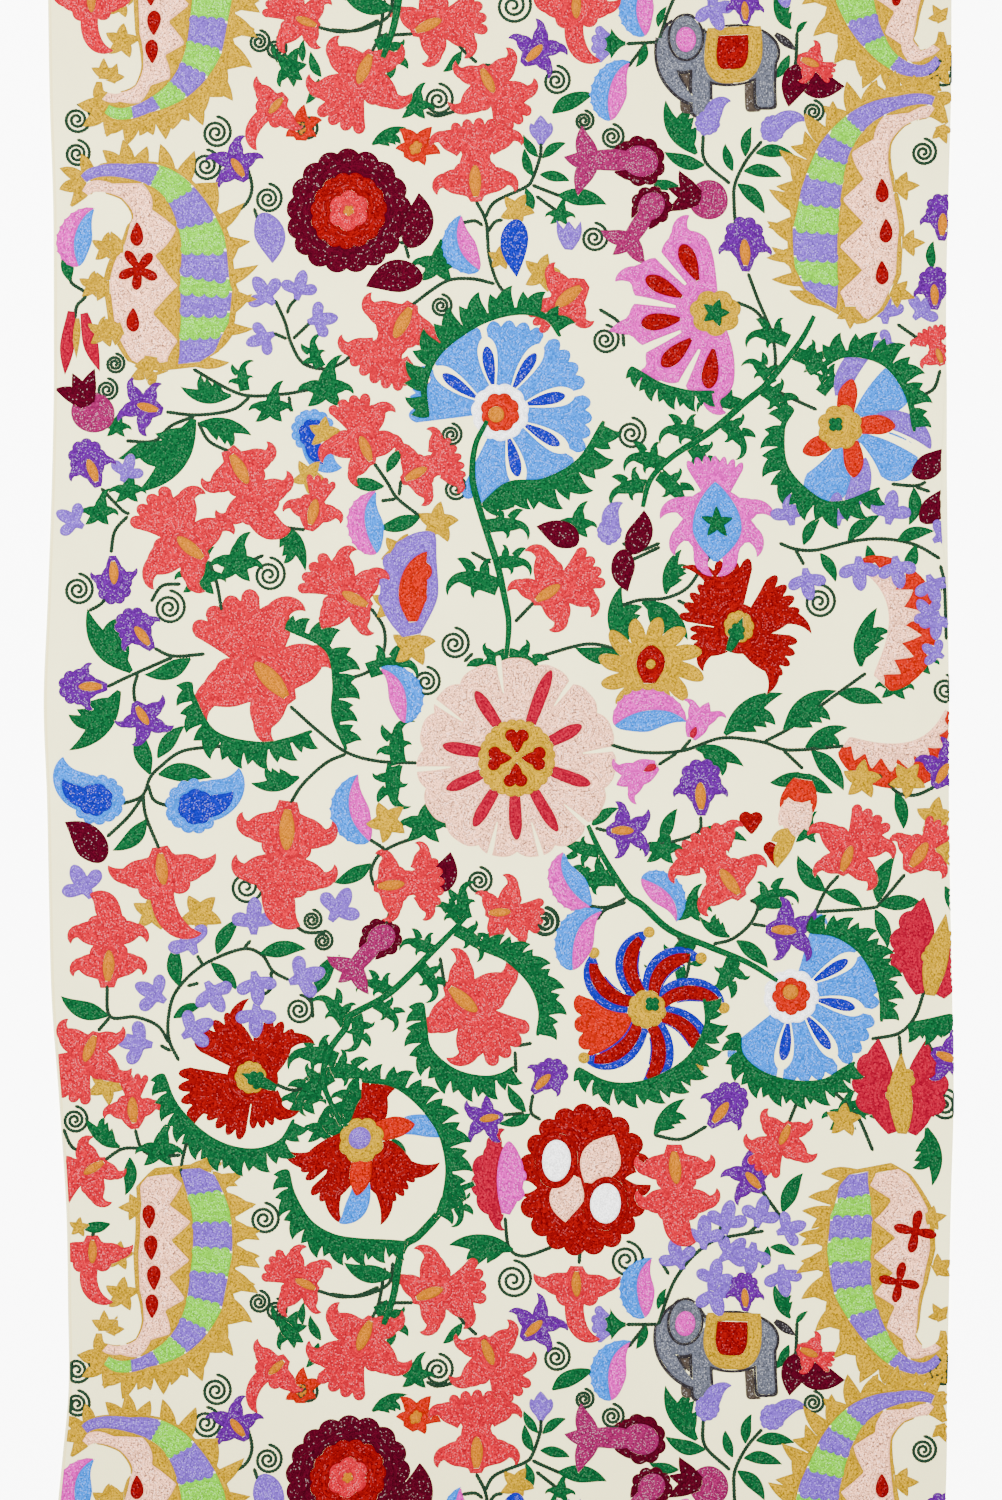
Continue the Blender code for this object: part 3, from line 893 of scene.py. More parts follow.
# The motifs of each piece: each kind with its places in the layout, which are rows of how far
# across and down it starts, its size, its clockwise turn and whether it is flipped
Place = namedtuple("Place", "across down size turn flip", defaults=(0, 0))
MOTIFS = {
    "coral_lilies": (
        ("lily", (
            (476, 200, 86), (411, 304, 92, 205), (403, 480, 67, 65), (942, 365, 43, -20),
            (374, 886, 73, 85), (742, 896, 84, -40),
        )),
        ("trumpet", (
            (318, 27, 60, -65), (371, 52, 86, 200), (413, 32, 77, 68), (481, 65, 73, 155, 1),
            (207, 560, 89, -52), (372, 463, 73, -25), (534, 602, 77, 55), (371, 606, 77, -65),
            (289, 702, 126, -40), (486, 912, 60, 90), (840, 873, 73, 25), (96, 1033, 75, 200),
            (105, 1160, 63, 235), (447, 985, 97, 130), (790, 1122, 60, 205),
        )),
        ("tailed_lily", (
            (285, 97, 55, -135), (577, -10, 69, 180), (160, 850, 86, 172), (92, 1237, 63, 180),
        )),
        ("tiered_lily", (
            (289, 806, 110, 185), (108, 984, 84), (675, 1147, 88, 178), (230, 452, 90, 152),
        )),
        ("lily_bud", (
            (587, 284, 76, 235), (797, 58, 46, 110), (310, 530, 63, 10), (907, 871, 69, 35),
            (135, 1128, 62, -5),
        )),
    ),
    "purple_irises": (
        ("iris", (
            (745, 271, 63), (745, 24, 45), (942, 240, 54), (934, 310, 50), (98, 487, 58, -20),
            (112, 556, 56, 175), (152, 648, 56, -40), (107, 687, 56, -90), (701, 814, 65),
            (709, 1126, 60, 40), (533, 1092, 50, 45),
        )),
        ("open_iris", (
            (246, 180, 52, -35), (523, 64, 54, 45), (162, 411, 52, -75), (135, 702, 52, 150),
            (607, 831, 54, 90), (934, 786, 56, 35), (503, 1116, 47, -100), (767, 929, 60, 95),
            (764, 1191, 52, -45), (932, 1051, 52, 110),
        )),
    ),
    "sprig_flowers": (
        ("trefoil", (
            (273, 303, 36, -38), (297, 299, 33, 12), (309, 322, 33, 80), (273, 334, 32, -112),
            (713, 4, 35, 10), (123, 480, 31, 20), (82, 526, 33, -60), (885, 322, 35, 0), (915, 318, 33, 40),
            (896, 346, 31, -90), (792, 524, 35, -10), (837, 524, 35, 0), (888, 523, 37, 10),
            (934, 541, 31, 60), (805, 570, 35, 170), (858, 558, 37, 175), (895, 558, 35, 170),
            (928, 576, 33, 160), (936, 612, 31, 180), (90, 896, 40, -30), (332, 919, 40, 30),
            (934, 620, 29, -40), (942, 657, 26, -60), (195, 952, 40, -30), (254, 933, 40, 0),
            (164, 1000, 37, -60), (207, 983, 37, 150), (254, 973, 37, 170), (291, 982, 40, 70),
            (256, 1004, 37, 180), (150, 1045, 40, -80), (184, 1036, 37, 60), (682, 1268, 35, -20),
            (704, 1248, 37, 0), (725, 1232, 37, 10), (757, 1226, 35, 15), (778, 1233, 33, 70),
            (754, 1244, 35, 190), (722, 1259, 35, 50), (781, 1266, 35, 170), (710, 1284, 37, 160),
        )),
        ("lavender_curl", (
            (703, 136, 40, 20), (762, 138, 42, 50), (609, 545, 40, 0),
        )),
        ("lavender_drop", ((273, 264, 50, 0),)),
        ("lavender_bud", ((541, 145, 30),)),
        ("lavender_tulip", ((569, 250, 32),)),
        ("calyx_flower", ((626, 44, 36, -90),)),
        ("bean", ((412, 635, 95, 20),)),
        ("royal_drop", ((516, 277, 56, -5),)),
    ),
    "stars": (
        ("star", (
            (107, 248, 31), (93, 286, 29), (103, 332, 31), (517, 210, 34, 20), (500, 258, 25),
            (542, 273, 38, 10), (324, 433, 31), (309, 476, 34, 30), (438, 523, 40), (399, 551, 36, 20),
            (390, 604, 36), (152, 912, 38), (201, 915, 43, 30), (413, 645, 43), (387, 822, 40, 40),
            (862, 780, 38), (907, 780, 36, 30), (936, 818, 40), (944, 851, 34), (106, 1085, 38, 20),
            (844, 1120, 34), (79, 1227, 20), (119, 1256, 29), (122, 1294, 34), (148, 369, 38, 160),
        )),
    ),
    "small_flowers": (
        ("orange_flower", ((301, 140, 38), (409, 160, 42, 30))),
        ("drop", (
            (419, 193, 52, 175), (366, 286, 54, 65), (789, 107, 43, 5), (845, 87, 45, -92),
            (536, 527, 43, 97), (628, 592, 40, -20), (644, 510, 43, 183), (945, 448, 40, 215),
            (945, 487, 40, 200), (64, 822, 52, 120), (451, 852, 43, 190),
        )),
        (half_moon, (
            (645, 36, 56, 5), (611, 121, 58, 17), (479, 270, 54, -20), (406, 723, 56, -23, 1),
            (369, 841, 63, -12), (641, 878, 52, 139), (573, 970, 62, 25),
        )),
        (pink_moon, (
            (79, 267, 56, 13), (377, 553, 58, -2), (614, 726, 67, 85), (591, 906, 57, -28),
        )),
        ("blue_paisley", (
            (120, 815, 66, -60), (168, 818, 70, 70, 1), (303, 411, 56, 160, 1),
        )),
        ("pink_tulip", ((658, 765, 56, -115), (691, 739, 50, 25))),
        ("orange_tulip", ((803, 775, 62, 190),)),
        ("heart", ((751, 834, 24), (776, 866, 26))),
        (pod, ((880, 682, 104, -2, 1), (846, 742, 92, 82, 1))),
        ("half_flower", ((497, 1220, 80),)),
    ),
    "butterflies": (
        ("narrow_butterfly", ((77, 370, 62),)),
        ("butterfly", ((930, 996, 92, 10), (901, 1134, 90))),
    ),
    "round_flowers": (
        (rosette, ((348, 212, 124),)),
        (fan_flower, ((500, 412, 100),)),
        (small_fan, ((792, 996, 96, 113),)),
        (medallion, ((516, 759, 100),)),
        (pink_palmette, ((715, 312, 100),)),
        (crescent_fan, ((846, 429, 100),)),
        (swirl_flower, ((646, 1010, 89),)),
        (red_fan, ((361, 1141, 100),)),
        (scalloped_flower, ((584, 1180, 102),)),
        ("yellow_flower", ((650, 667, 96),)),
        (palmette, ((716, 516, 102),)),
    ),
    "carnations": (
        (red_carnation, ((276, 1087, 108, -70), (727, 652, 104, 24))),
    ),
    "plum_flowers": (
        ("plum_flower", (
            (573, 161, 92, 90), (620, 252, 75, 35), (345, 980, 75, 40),
        )),
        ("pomegranate", ((730, 206, 62, -75), (105, 433, 66, -30))),
    ),
    "elephants": (
        (elephant, ((720, 67, 100),)),
    ),
    "leaves": (
        ("leaf", (
            (303, 80, 37, -55), (321, 77, 27, -35), (303, 62, 22, -10), (319, 79, 28, 195),
            (462, 51, 28, 210), (552, 114, 45, 52), (646, 43, 26, 190), (658, 27, 22, 10),
            (796, 34, 17, 30), (789, 55, 28, 200), (71, 282, 37, -15), (533, 176, 28, -30),
            (538, 157, 26, -45), (542, 158, 28, 45), (540, 175, 30, 90), (558, 196, 48, 88),
            (526, 188, 28, 160), (705, 165, 41, -85), (733, 171, 28, -28), (745, 157, 30, 0),
            (756, 153, 37, 80), (744, 171, 37, 86), (738, 184, 39, 125), (679, 186, 30, -90),
            (932, 270, 28, -10), (154, 441, 39, 232), (387, 473, 30, 22), (384, 486, 37, -90),
            (420, 516, 43, 243), (914, 488, 37, 175), (803, 545, 32, 20), (848, 541, 39, 38),
            (897, 541, 37, 62), (820, 553, 32, 140), (867, 545, 30, 160), (915, 545, 37, 190),
            (942, 588, 28, 232), (191, 659, 48, 238), (150, 775, 48, -22), (158, 758, 41, 28),
            (158, 775, 52, 80), (147, 820, 45, 215), (371, 863, 41, 230), (624, 655, 48, -95),
            (591, 826, 32, 45), (838, 694, 45, 90), (811, 751, 50, 128), (662, 843, 37, 12),
            (895, 792, 37, 155), (825, 892, 45, -50), (826, 892, 39, 100), (877, 902, 48, 8),
            (879, 906, 43, 75), (944, 886, 32, 150), (109, 1016, 50, -80), (179, 986, 43, -15),
            (217, 954, 41, 20), (260, 954, 45, 72), (211, 963, 37, 125), (173, 1018, 32, 55),
            (130, 1157, 37, 175), (315, 994, 45, 20), (526, 1112, 32, -45), (530, 1114, 32, 240),
            (736, 941, 41, 118), (875, 910, 39, 150), (783, 1212, 43, 15), (758, 906, 35, 75),
            (110, 1224, 32, -105), (394, 1276, 50, -88), (770, 1247, 26, 95), (768, 1246, 24, 185),
        )),
        ("ruffled_leaf", (
            (791, 29, 36, -40), (697, 155, 58, -45), (372, 145, 36, 50), (232, 396, 48, -95),
            (199, 424, 50, 88), (195, 418, 86, 203), (279, 524, 50, 135), (666, 594, 44, 5),
            (642, 601, 56, 115), (132, 673, 72, -50), (120, 690, 72, 205), (300, 777, 46, 248),
            (625, 652, 62, -18), (861, 667, 56), (724, 735, 66, 40), (783, 731, 62, 38), (805, 748, 44, 50),
            (695, 749, 48, 95), (699, 831, 46, 88), (120, 1147, 42, -65), (730, 937, 34, -70),
            (655, 1135, 44, 25), (926, 1127, 54, 160), (513, 1251, 60, -70, 1),
        )),
        ("hooked_leaf", (
            (381, 37, 48, 145), (244, 390, 33, -20), (320, 367, 35, -35), (370, 670, 51, 60),
            (399, 763, 48, -20), (395, 765, 48, 200, 1), (466, 918, 40, -25), (597, 851, 40, -95),
            (757, 904, 44, 50), (489, 526, 44, 70), (495, 563, 40, 70), (497, 586, 55, -60, 1),
            (506, 655, 48, -110, 1), (508, 655, 48, 100), (787, 340, 44, -60, 1), (795, 353, 44, 100),
            (738, 405, 44, -60, 1), (762, 389, 44, 110), (700, 436, 44, -60, 1), (722, 421, 44, 120),
            (664, 464, 44, -60, 1), (690, 444, 44, 130), (660, 475, 44, 120), (648, 486, 44, -80, 1),
            (771, 383, 37, -20, 1), (821, 392, 37, 30), (614, 878, 51, -80, 1), (690, 938, 57, 200),
            (735, 957, 48, 190), (335, 1060, 51, -60, 1), (330, 1075, 51, -110, 1), (346, 1024, 44, -20, 1),
            (328, 1070, 48, 80), (335, 1105, 46, 150), (391, 992, 37, -50, 1), (376, 1004, 35, 110),
            (356, 1015, 40, 160), (434, 951, 37, -50, 1), (420, 966, 40, 130), (462, 922, 37, -30, 1),
            (458, 930, 40, 110), (451, 1192, 37, 140),
        )),
        ("star_leaf", (
            (415, 110, 39), (438, 269, 53), (560, 218, 30), (271, 412, 44), (326, 394, 55), (128, 494, 37),
            (99, 516, 39), (200, 582, 51), (236, 569, 53), (577, 528, 39), (425, 830, 53), (920, 665, 39),
            (895, 690, 39), (662, 853, 44), (807, 835, 34), (691, 912, 41), (160, 1155, 48),
            (303, 1104, 46), (352, 1100, 41), (322, 1133, 41), (844, 1120, 44), (868, 1110, 44),
            (293, 1331, 44, -60), (117, 430, 30),
        )),
    ),
}

# Striped paisleys: the bends of each, which side its stripes lie on, where the stripes
# change, its outer teeth and its inner points
PAISLEY_COLUMNS = "bends side stripes teeth tooth points teeth_from_to"
Paisley = namedtuple("Paisley", PAISLEY_COLUMNS, defaults=((0.05, 0.9),))
PAISLEYS = (
    Paisley((
        (176, 370, 40), (174, 356, 92), (171, 325, 126), (171, 286, 136), (174, 243, 114), (158, 200, 76),
        (125, 181, 38), (92, 180, 27), (70, 206, 3),
    ), 1, (0.015, 0.12, 0.21, 0.29, 0.36, 0.43, 0.51, 0.6, 0.68, 0.9), 7, 22, 5),
    Paisley((
        (836, 314, 44), (842, 300, 84), (846, 272, 112), (846, 230, 118), (847, 195, 104), (855, 156, 80),
        (872, 128, 58), (900, 112, 34), (930, 108, 25), (947, 124, 5),
    ), -1, (0.015, 0.12, 0.21, 0.31, 0.4, 0.48, 0.55, 0.61, 0.67, 0.92), 9, 24, 6),
    Paisley((
        (176, 1166, 40), (178, 1180, 84), (184, 1212, 100), (185, 1255, 104), (181, 1300, 92),
        (166, 1334, 62), (142, 1354, 34), (118, 1358, 30), (99, 1346, 14), (98, 1332, 6),
    ), -1, (0.015, 0.13, 0.23, 0.32, 0.41, 0.5, 0.58, 0.66, 0.74, 0.82, 0.9), 11, 26, 7),
    Paisley((
        (872, 1166, 40), (874, 1180, 76), (878, 1212, 108), (878, 1250, 114), (880, 1290, 98),
        (888, 1325, 68), (900, 1350, 42), (922, 1361, 30), (940, 1346, 14), (942, 1330, 6),
    ), 1, (0.015, 0.12, 0.21, 0.3, 0.39, 0.48, 0.57, 0.66, 0.75, 0.9), 10, 26, 7),
)
PAISLEY_HEARTS = (
    ("red_drop", (
        (137, 222, 24, 180), (133, 308, 24, 180), (882, 179, 24, 180), (886, 219, 24, 180),
        (882, 261, 24, 180), (149, 1229, 24, 0), (151, 1260, 25, 0), (154, 1290, 25, 0), (152, 1318, 24, 0),
    )),
    ("red_flower", ((138, 269, 38),)),
    ("red_cross", ((915, 1231, 40), (899, 1282, 38))),
    ("tuft", (
        (118, 246, 30, -90), (104, 287, 30, -90), (117, 330, 30, -110), (150, 362, 30, -170),
        (900, 186, 30, 90), (907, 243, 28, 90), (896, 292, 30, 110), (850, 312, 28, 180),
        (941, 130, 24, 160), (136, 1207, 28, -90), (104, 1326, 26, 0), (112, 1330, 24, 20),
        (930, 1218, 26, 80), (938, 1268, 28, 60), (940, 1316, 24, -30),
    )),
)

# Toothed green arcs: the places that each runs through, its teeth, how tall they are and
# which side they stand on
Frill = namedtuple("Frill", "points teeth size side", defaults=(-1,))
FRILLS = (
    Frill(((427, 418), (425, 385), (440, 350), (475, 322), (513, 312), (545, 318), (560, 337)), 8, 22),
    Frill(((483, 504), (510, 486), (545, 484), (580, 462), (603, 420)), 6, 24, 1),
    Frill(((632, 367), (660, 386), (690, 393), (715, 391)), 5, 16, 1),
    Frill(((793, 410), (781, 431), (786, 470), (817, 500), (844, 503), (881, 488)), 8, 20, 1),
    Frill(((811, 375), (846, 353), (885, 362), (907, 392), (913, 433)), 7, 20),
    Frill(((191, 682), (194, 698), (215, 733), (260, 746), (290, 741), (313, 731)), 7, 20, 1),
    Frill(((285, 629), (326, 647), (336, 682), (336, 714), (346, 749)), 6, 20),
    Frill(((164, 1075), (173, 1104), (195, 1129), (224, 1146), (256, 1152), (281, 1143), (293, 1120)),
        9, 20, 1),
    Frill(((362, 1080), (391, 1084), (415, 1100), (436, 1124), (446, 1145), (450, 1171), (444, 1200),
        (434, 1218)), 8, 20),
    Frill(((289, 1171), (293, 1196), (307, 1222), (330, 1236), (360, 1241), (407, 1244)), 8, 20, 1),
    Frill(((481, 947), (509, 959), (532, 984), (541, 1012), (538, 1037)), 6, 22),
    Frill(((422, 1004), (424, 1026), (430, 1051), (454, 1071), (483, 1078), (503, 1075), (515, 1067)),
        7, 20, 1),
    Frill(((579, 1067), (605, 1082), (632, 1086), (660, 1080), (687, 1063), (701, 1043), (707, 1022),
        (703, 998)), 9, 20, 1),
    Frill(((809, 932), (836, 933), (860, 947), (875, 971), (881, 998), (881, 1022)), 7, 20),
    Frill(((740, 1033), (742, 1055), (762, 1075), (793, 1085), (824, 1082), (844, 1069), (856, 1061)),
        8, 20, 1),
    Frill(((952, 1014), (930, 1022), (907, 1026)), 3, 18),
)

# Thick stems
Vine = namedtuple("Vine", "points width")
VINES = (
    Vine(((486, 420), (475, 443), (473, 473), (479, 504), (487, 535), (497, 565), (503, 586), (509, 620),
        (505, 657)), 6),
    Vine(((813, 316), (801, 341), (783, 367), (766, 386), (742, 404), (709, 431), (673, 457), (652, 480),
        (643, 508)), 6),
    Vine(((589, 824), (605, 859), (626, 894), (642, 906), (671, 931), (711, 946), (746, 961), (777, 982)),
        6),
    Vine(((340, 1124), (324, 1084), (330, 1051), (346, 1026), (350, 1014), (391, 992), (438, 947),
        (466, 916)), 6),
    Vine(((475, 1182), (448, 1195), (438, 1213), (417, 1237), (402, 1250), (395, 1294), (383, 1325)), 7),
)

# Single rows of chain stitch
STEMS = (
    ((287, 314), (290, 306), (297, 298)),
    ((385, 0), (379, 35), (371, 54)),
    ((379, 36), (413, 34)),
    ((379, 20), (360, 29), (340, 32), (317, 27)),
    ((450, 31), (462, 49), (477, 63)),
    ((483, 65), (503, 66), (517, 59)),
    ((462, 109), (438, 116), (426, 112)),
    ((246, 163), (252, 188), (244, 206), (224, 216)),
    ((254, 208), (258, 220)),
    ((72, 267), (71, 282), (86, 294), (77, 306), (75, 319)),
    ((417, 238), (405, 243), (399, 242)),
    ((405, 244), (409, 259)),
    ((626, 44), (660, 42)),
    ((646, 43), (628, 67)),
    ((485, 218), (495, 202), (524, 188), (532, 180), (540, 157), (541, 143)),
    ((532, 185), (544, 190), (560, 196)),
    ((536, 196), (558, 212)),
    ((476, 201), (486, 222), (489, 255), (497, 282), (509, 298)),
    ((462, 223), (475, 221), (483, 226)),
    ((503, 220), (495, 222), (487, 233)),
    ((495, 284), (473, 279), (450, 280), (432, 290), (411, 306)),
    ((658, 43), (669, 10), (679, -10), (695, -30), (715, -45), (740, -52), (764, -57)),
    ((669, -8), (659, -24)),
    ((690, -35), (687, -52)),
    ((717, -45), (721, -60)),
    ((746, -52), (757, -62)),
    ((762, -97), (781, -72), (787, -66)),
    ((797, 32), (796, 58), (794, 73)),
    ((703, 135), (705, 161), (730, 184)),
    ((736, 235), (734, 204), (735, 184), (746, 161), (762, 141)),
    ((748, 273), (758, 300), (771, 331), (775, 353), (775, 371)),
    ((736, 302), (754, 310), (765, 322)),
    ((193, 369), (230, 390), (252, 396), (285, 394), (313, 389)),
    ((250, 397), (232, 410), (197, 415), (166, 412)),
    ((195, 416), (171, 426), (154, 441), (126, 441)),
    ((198, 422), (209, 441), (230, 452)),
    ((289, 396), (291, 412)),
    ((101, 488), (122, 510), (130, 514)),
    ((128, 516), (115, 531), (111, 553)),
    ((109, 586), (103, 602), (89, 611)),
    ((272, 515), (281, 526), (305, 530)),
    ((209, 561), (217, 584), (223, 620)),
    ((181, 584), (162, 586), (151, 602)),
    ((246, 563), (264, 555)),
    ((275, 300), (285, 322), (291, 343), (303, 363), (324, 369), (342, 363), (351, 355)),
    ((273, 333), (287, 339)),
    ((313, 320), (293, 339)),
    ((374, 463), (387, 482), (397, 498), (417, 514), (428, 521)),
    ((399, 496), (401, 480)),
    ((396, 499), (381, 501)),
    ((471, 552), (491, 563)),
    ((622, 543), (640, 550), (660, 543)),
    ((632, 560), (660, 547)),
    ((534, 602), (515, 622)),
    ((599, 309), (620, 324), (624, 347)),
    ((771, 388), (795, 400), (817, 410)),
    ((897, 324), (915, 337), (926, 344)),
    ((940, 370), (934, 388), (922, 396)),
    ((891, 484), (915, 486), (926, 482)),
    ((915, 487), (930, 492)),
    ((779, 543), (795, 549), (817, 550), (854, 541), (885, 539), (915, 545), (940, 559)),
    ((795, 549), (804, 565)),
    ((940, 565), (944, 586), (946, 640)),
    ((714, 550), (701, 569), (687, 588), (666, 598), (640, 600), (620, 606)),
    ((205, 654), (173, 656), (154, 648)),
    ((173, 657), (132, 675), (107, 687)),
    ((138, 673), (134, 688), (135, 702)),
    ((290, 706), (318, 731), (346, 752), (377, 761), (417, 763)),
    ((222, 746), (183, 751), (160, 767), (150, 778), (142, 796), (122, 804)),
    ((142, 798), (128, 817), (107, 837)),
    ((143, 794), (146, 816), (160, 851)),
    ((148, 784), (154, 800), (171, 807)),
    ((346, 754), (326, 763), (303, 784), (290, 804)),
    ((371, 608), (384, 629), (383, 653), (369, 671), (348, 679)),
    ((473, 653), (464, 662)),
    ((605, 743), (640, 752), (681, 751), (722, 738), (762, 742), (789, 750), (844, 746)),
    ((544, 655), (589, 644), (626, 652)),
    ((764, 742), (793, 726), (834, 696), (866, 673)),
    ((783, 750), (803, 769)),
    ((681, 751), (691, 739)),
    ((677, 753), (658, 765)),
    ((701, 816), (697, 833), (662, 844), (648, 843)),
    ((879, 773), (897, 792), (915, 795), (934, 787)),
    ((420, 836), (395, 845), (379, 855), (371, 871), (374, 886)),
    ((369, 839), (385, 849)),
    ((465, 896), (466, 914)),
    ((607, 831), (595, 828)),
    ((589, 906), (607, 907), (626, 898)),
    ((839, 875), (826, 890), (815, 912)),
    ((815, 912), (870, 908), (881, 902), (905, 874)),
    ((677, 600), (707, 615)),
    ((179, 1061), (169, 1039), (169, 1014), (177, 990), (203, 965), (242, 949), (262, 955), (273, 971),
        (289, 980)),
    ((203, 965), (197, 955)),
    ((187, 986), (199, 983)),
    ((244, 948), (251, 940)),
    ((271, 971), (271, 988), (263, 995)),
    ((160, 1045), (171, 1051)),
    ((107, 984), (110, 1016), (136, 1017), (158, 1026), (169, 1043)),
    ((110, 1017), (98, 1031)),
    ((135, 1129), (142, 1149), (158, 1156), (181, 1155)),
    ((105, 1160), (122, 1149), (140, 1148)),
    ((190, 1131), (183, 1157), (180, 1178)),
    ((62, 1124), (71, 1145), (81, 1151)),
    ((283, 911), (303, 931), (326, 932)),
    ((311, 995), (313, 1018)),
    ((275, 1084), (295, 1090), (320, 1080)),
    ((390, 912), (386, 924)),
    ((440, 957), (445, 988)),
    ((515, 1051), (516, 1073)),
    ((517, 1046), (532, 1043)),
    ((626, 902), (605, 910), (597, 920)),
    ((533, 1094), (531, 1112), (541, 1120)),
    ((503, 1115), (524, 1113)),
    ((713, 944), (732, 939), (750, 924), (758, 906), (750, 900)),
    ((752, 924), (766, 926)),
    ((677, 935), (689, 959), (681, 988), (664, 998)),
    ((806, 929), (815, 912)),
    ((924, 990), (915, 1016), (899, 1033), (871, 1039)),
    ((899, 1035), (901, 1059)),
    ((926, 1039), (932, 1051)),
    ((707, 1126), (681, 1139), (654, 1135)),
    ((832, 1090), (856, 1114), (873, 1151)),
    ((801, 1092), (789, 1122)),
    ((505, 1217), (509, 1247), (524, 1256), (552, 1247)),
    ((330, 1294), (360, 1296), (388, 1284), (393, 1262)),
    ((92, 1237), (98, 1222)),
    ((579, 1264), (580, 1252)),
)

# Small spirals of one row: the middle and the radius of each
Spiral = namedtuple("Spiral", "across down radius")
SPIRAL_TURNS = 2.6
SPIRALS = tuple(Spiral(*row) for row in (
    (259, 42, 10), (77, 120, 13), (77, 154, 12), (216, 133, 14), (206, 166, 14), (307, 129, 10),
    (268, 199, 13), (513, 6, 17), (438, 100, 14), (556, 81, 13), (584, 121, 9), (612, 137, 11),
    (594, 238, 13), (441, 306, 10), (813, 112, 10), (942, 72, 15), (923, 153, 12), (115, 364, 9),
    (107, 390, 10), (78, 590, 14), (169, 608, 15), (269, 575, 15), (605, 340, 13), (631, 434, 14),
    (451, 435, 10), (455, 489, 11), (819, 602, 15), (246, 887, 16), (426, 682, 13), (454, 644, 14),
    (479, 881, 12), (545, 922, 13), (945, 690, 13), (75, 1120, 12), (312, 920, 9), (323, 941, 9),
    (299, 1010, 13), (544, 923, 13), (944, 1105, 14), (264, 1219, 14), (626, 1260, 16), (276, 1310, 10),
))

# The design repeats along the cloth, a little askew
REPEAT = 1265
REPEAT_SKEW = 0.055
SKEWED_FROM = 347
VISIBLE_DOWN = (-26, 1526)


def repeat_at(across):
    """How far down the next copy of the design lies, at a place across the cloth."""
    return REPEAT + REPEAT_SKEW * (across - SKEWED_FROM)


def repeated(across, down, margin):
    """How far down each copy of the design moves a motif that shows on this length of cloth."""
    shift = repeat_at(across)
    low, high = VISIBLE_DOWN
    return [move for move in (-shift, 0.0, shift) if low - margin < down + move < high + margin]


def copies(rows):
    """The same bends or points in each copy of the design that shows on this length of cloth."""
    found = []
    for turn in (-1, 0, 1):
        moved = [(row[0], row[1] + turn * repeat_at(row[0])) for row in rows]
        if any(VISIBLE_DOWN[0] < place[1] < VISIBLE_DOWN[1] for place in moved):
            found.append([place + tuple(row[2:]) for place, row in zip(moved, rows)])
    return found


# Where stitches end: round the fold, counted in its radii, and short of the selvedge and of
# the cut ends, in steps. The loops that cut them off reach well past the cloth.
ROUND_FOLD = 1.75
SELVEDGE_MARGIN = 2.5
END_MARGIN = 0.8
PAST_LEFT = -60
PAST_RIGHT = MIDDLE_ACROSS * 2.4
PAST_END = 200


def edge_cutters():
    """Closed loops over all that lies beyond the cloth's four edges."""
    cotton = bpy.context.scene.suzani_sizes.cotton
    y = np.linspace(-CLOTH_LENGTH / 2, CLOTH_LENGTH / 2, 240)
    middle, radius = fold_middle(y, cotton)
    lip = edge_at("right", y) - edge_at("short", y)
    last = np.where(edge_at("short", y) > 0.002, lip, middle + radius * ROUND_FOLD)
    rim = np.stack([last / STEP + MIDDLE_ACROSS, y / STEP - MIDDLE_DOWN], 1)
    low, high = rim[0, 1], rim[-1, 1]
    fold = np.concatenate([rim, [[PAST_RIGHT, high], [PAST_RIGHT, low]]])
    ends = []
    for a, b in ((high - END_MARGIN, high + PAST_END), (low - PAST_END, low + END_MARGIN)):
        ends.append(np.array([[PAST_LEFT, a], [PAST_RIGHT, a], [PAST_RIGHT, b], [PAST_LEFT, b]]))
    inset = edge_at("left", y) / STEP + MIDDLE_ACROSS + SELVEDGE_MARGIN
    rim = np.stack([inset, y / STEP - MIDDLE_DOWN], 1)
    left = np.concatenate([rim, [[PAST_LEFT, high], [PAST_LEFT, low]]])
    return [fold, left] + ends


# Filling outlines with stitches: outlines smaller than the least area, in square steps, are
# left out, and the rows of the inner grid lie this share of its spacing apart
LEAST_AREA = 3.0
GRID_ROW = 0.866
GRID_JITTER = 0.12


def winding(points, loops):
    """How often the loops run round each point."""
    turns = np.zeros(len(points), int)
    x, y = points[:, :1], points[:, 1:]
    for loop in loops:
        after = np.roll(loop, -1, 0)
        rise = after[:, 1] - loop[:, 1]
        rise = np.where(rise == 0, 1e-9, rise)
        left = x < loop[:, 0] + (y - loop[:, 1]) / rise * (after[:, 0] - loop[:, 0])
        up = (loop[:, 1] <= y) & (after[:, 1] > y)
        down = (loop[:, 1] > y) & (after[:, 1] <= y)
        turns += (up & left).sum(1) - (down & left).sum(1)
    return turns


def covered(points, loops):
    """Whether each point lies inside any of the loops."""
    found = np.zeros(len(points), bool)
    for loop in loops:
        found |= winding(points, [loop]) != 0
    return found


def triangulate(loops, inner=None):
    """Triangles over the points of closed loops, whose sides they keep, and inner points."""
    points = np.concatenate(loops if inner is None else loops + [inner])
    edges = []
    first = 0
    for loop in loops:
        numbers = list(range(first, first + len(loop)))
        edges += list(zip(numbers, numbers[1:] + numbers[:1]))
        first += len(loop)
    found = delaunay_2d_cdt([Vector(point) for point in points], edges, [], 0, 1e-4)
    return np.array([tuple(point) for point in found[0]]), np.array(found[2])


def meeting(loops, others):
    """Those of the other loops whose boxes meet the loops' own."""
    low = np.min([loop.min(0) for loop in loops], 0)
    high = np.max([loop.max(0) for loop in loops], 0)
    return [other for other in others if (other.min(0) < high).all() and (other.max(0) > low).all()]


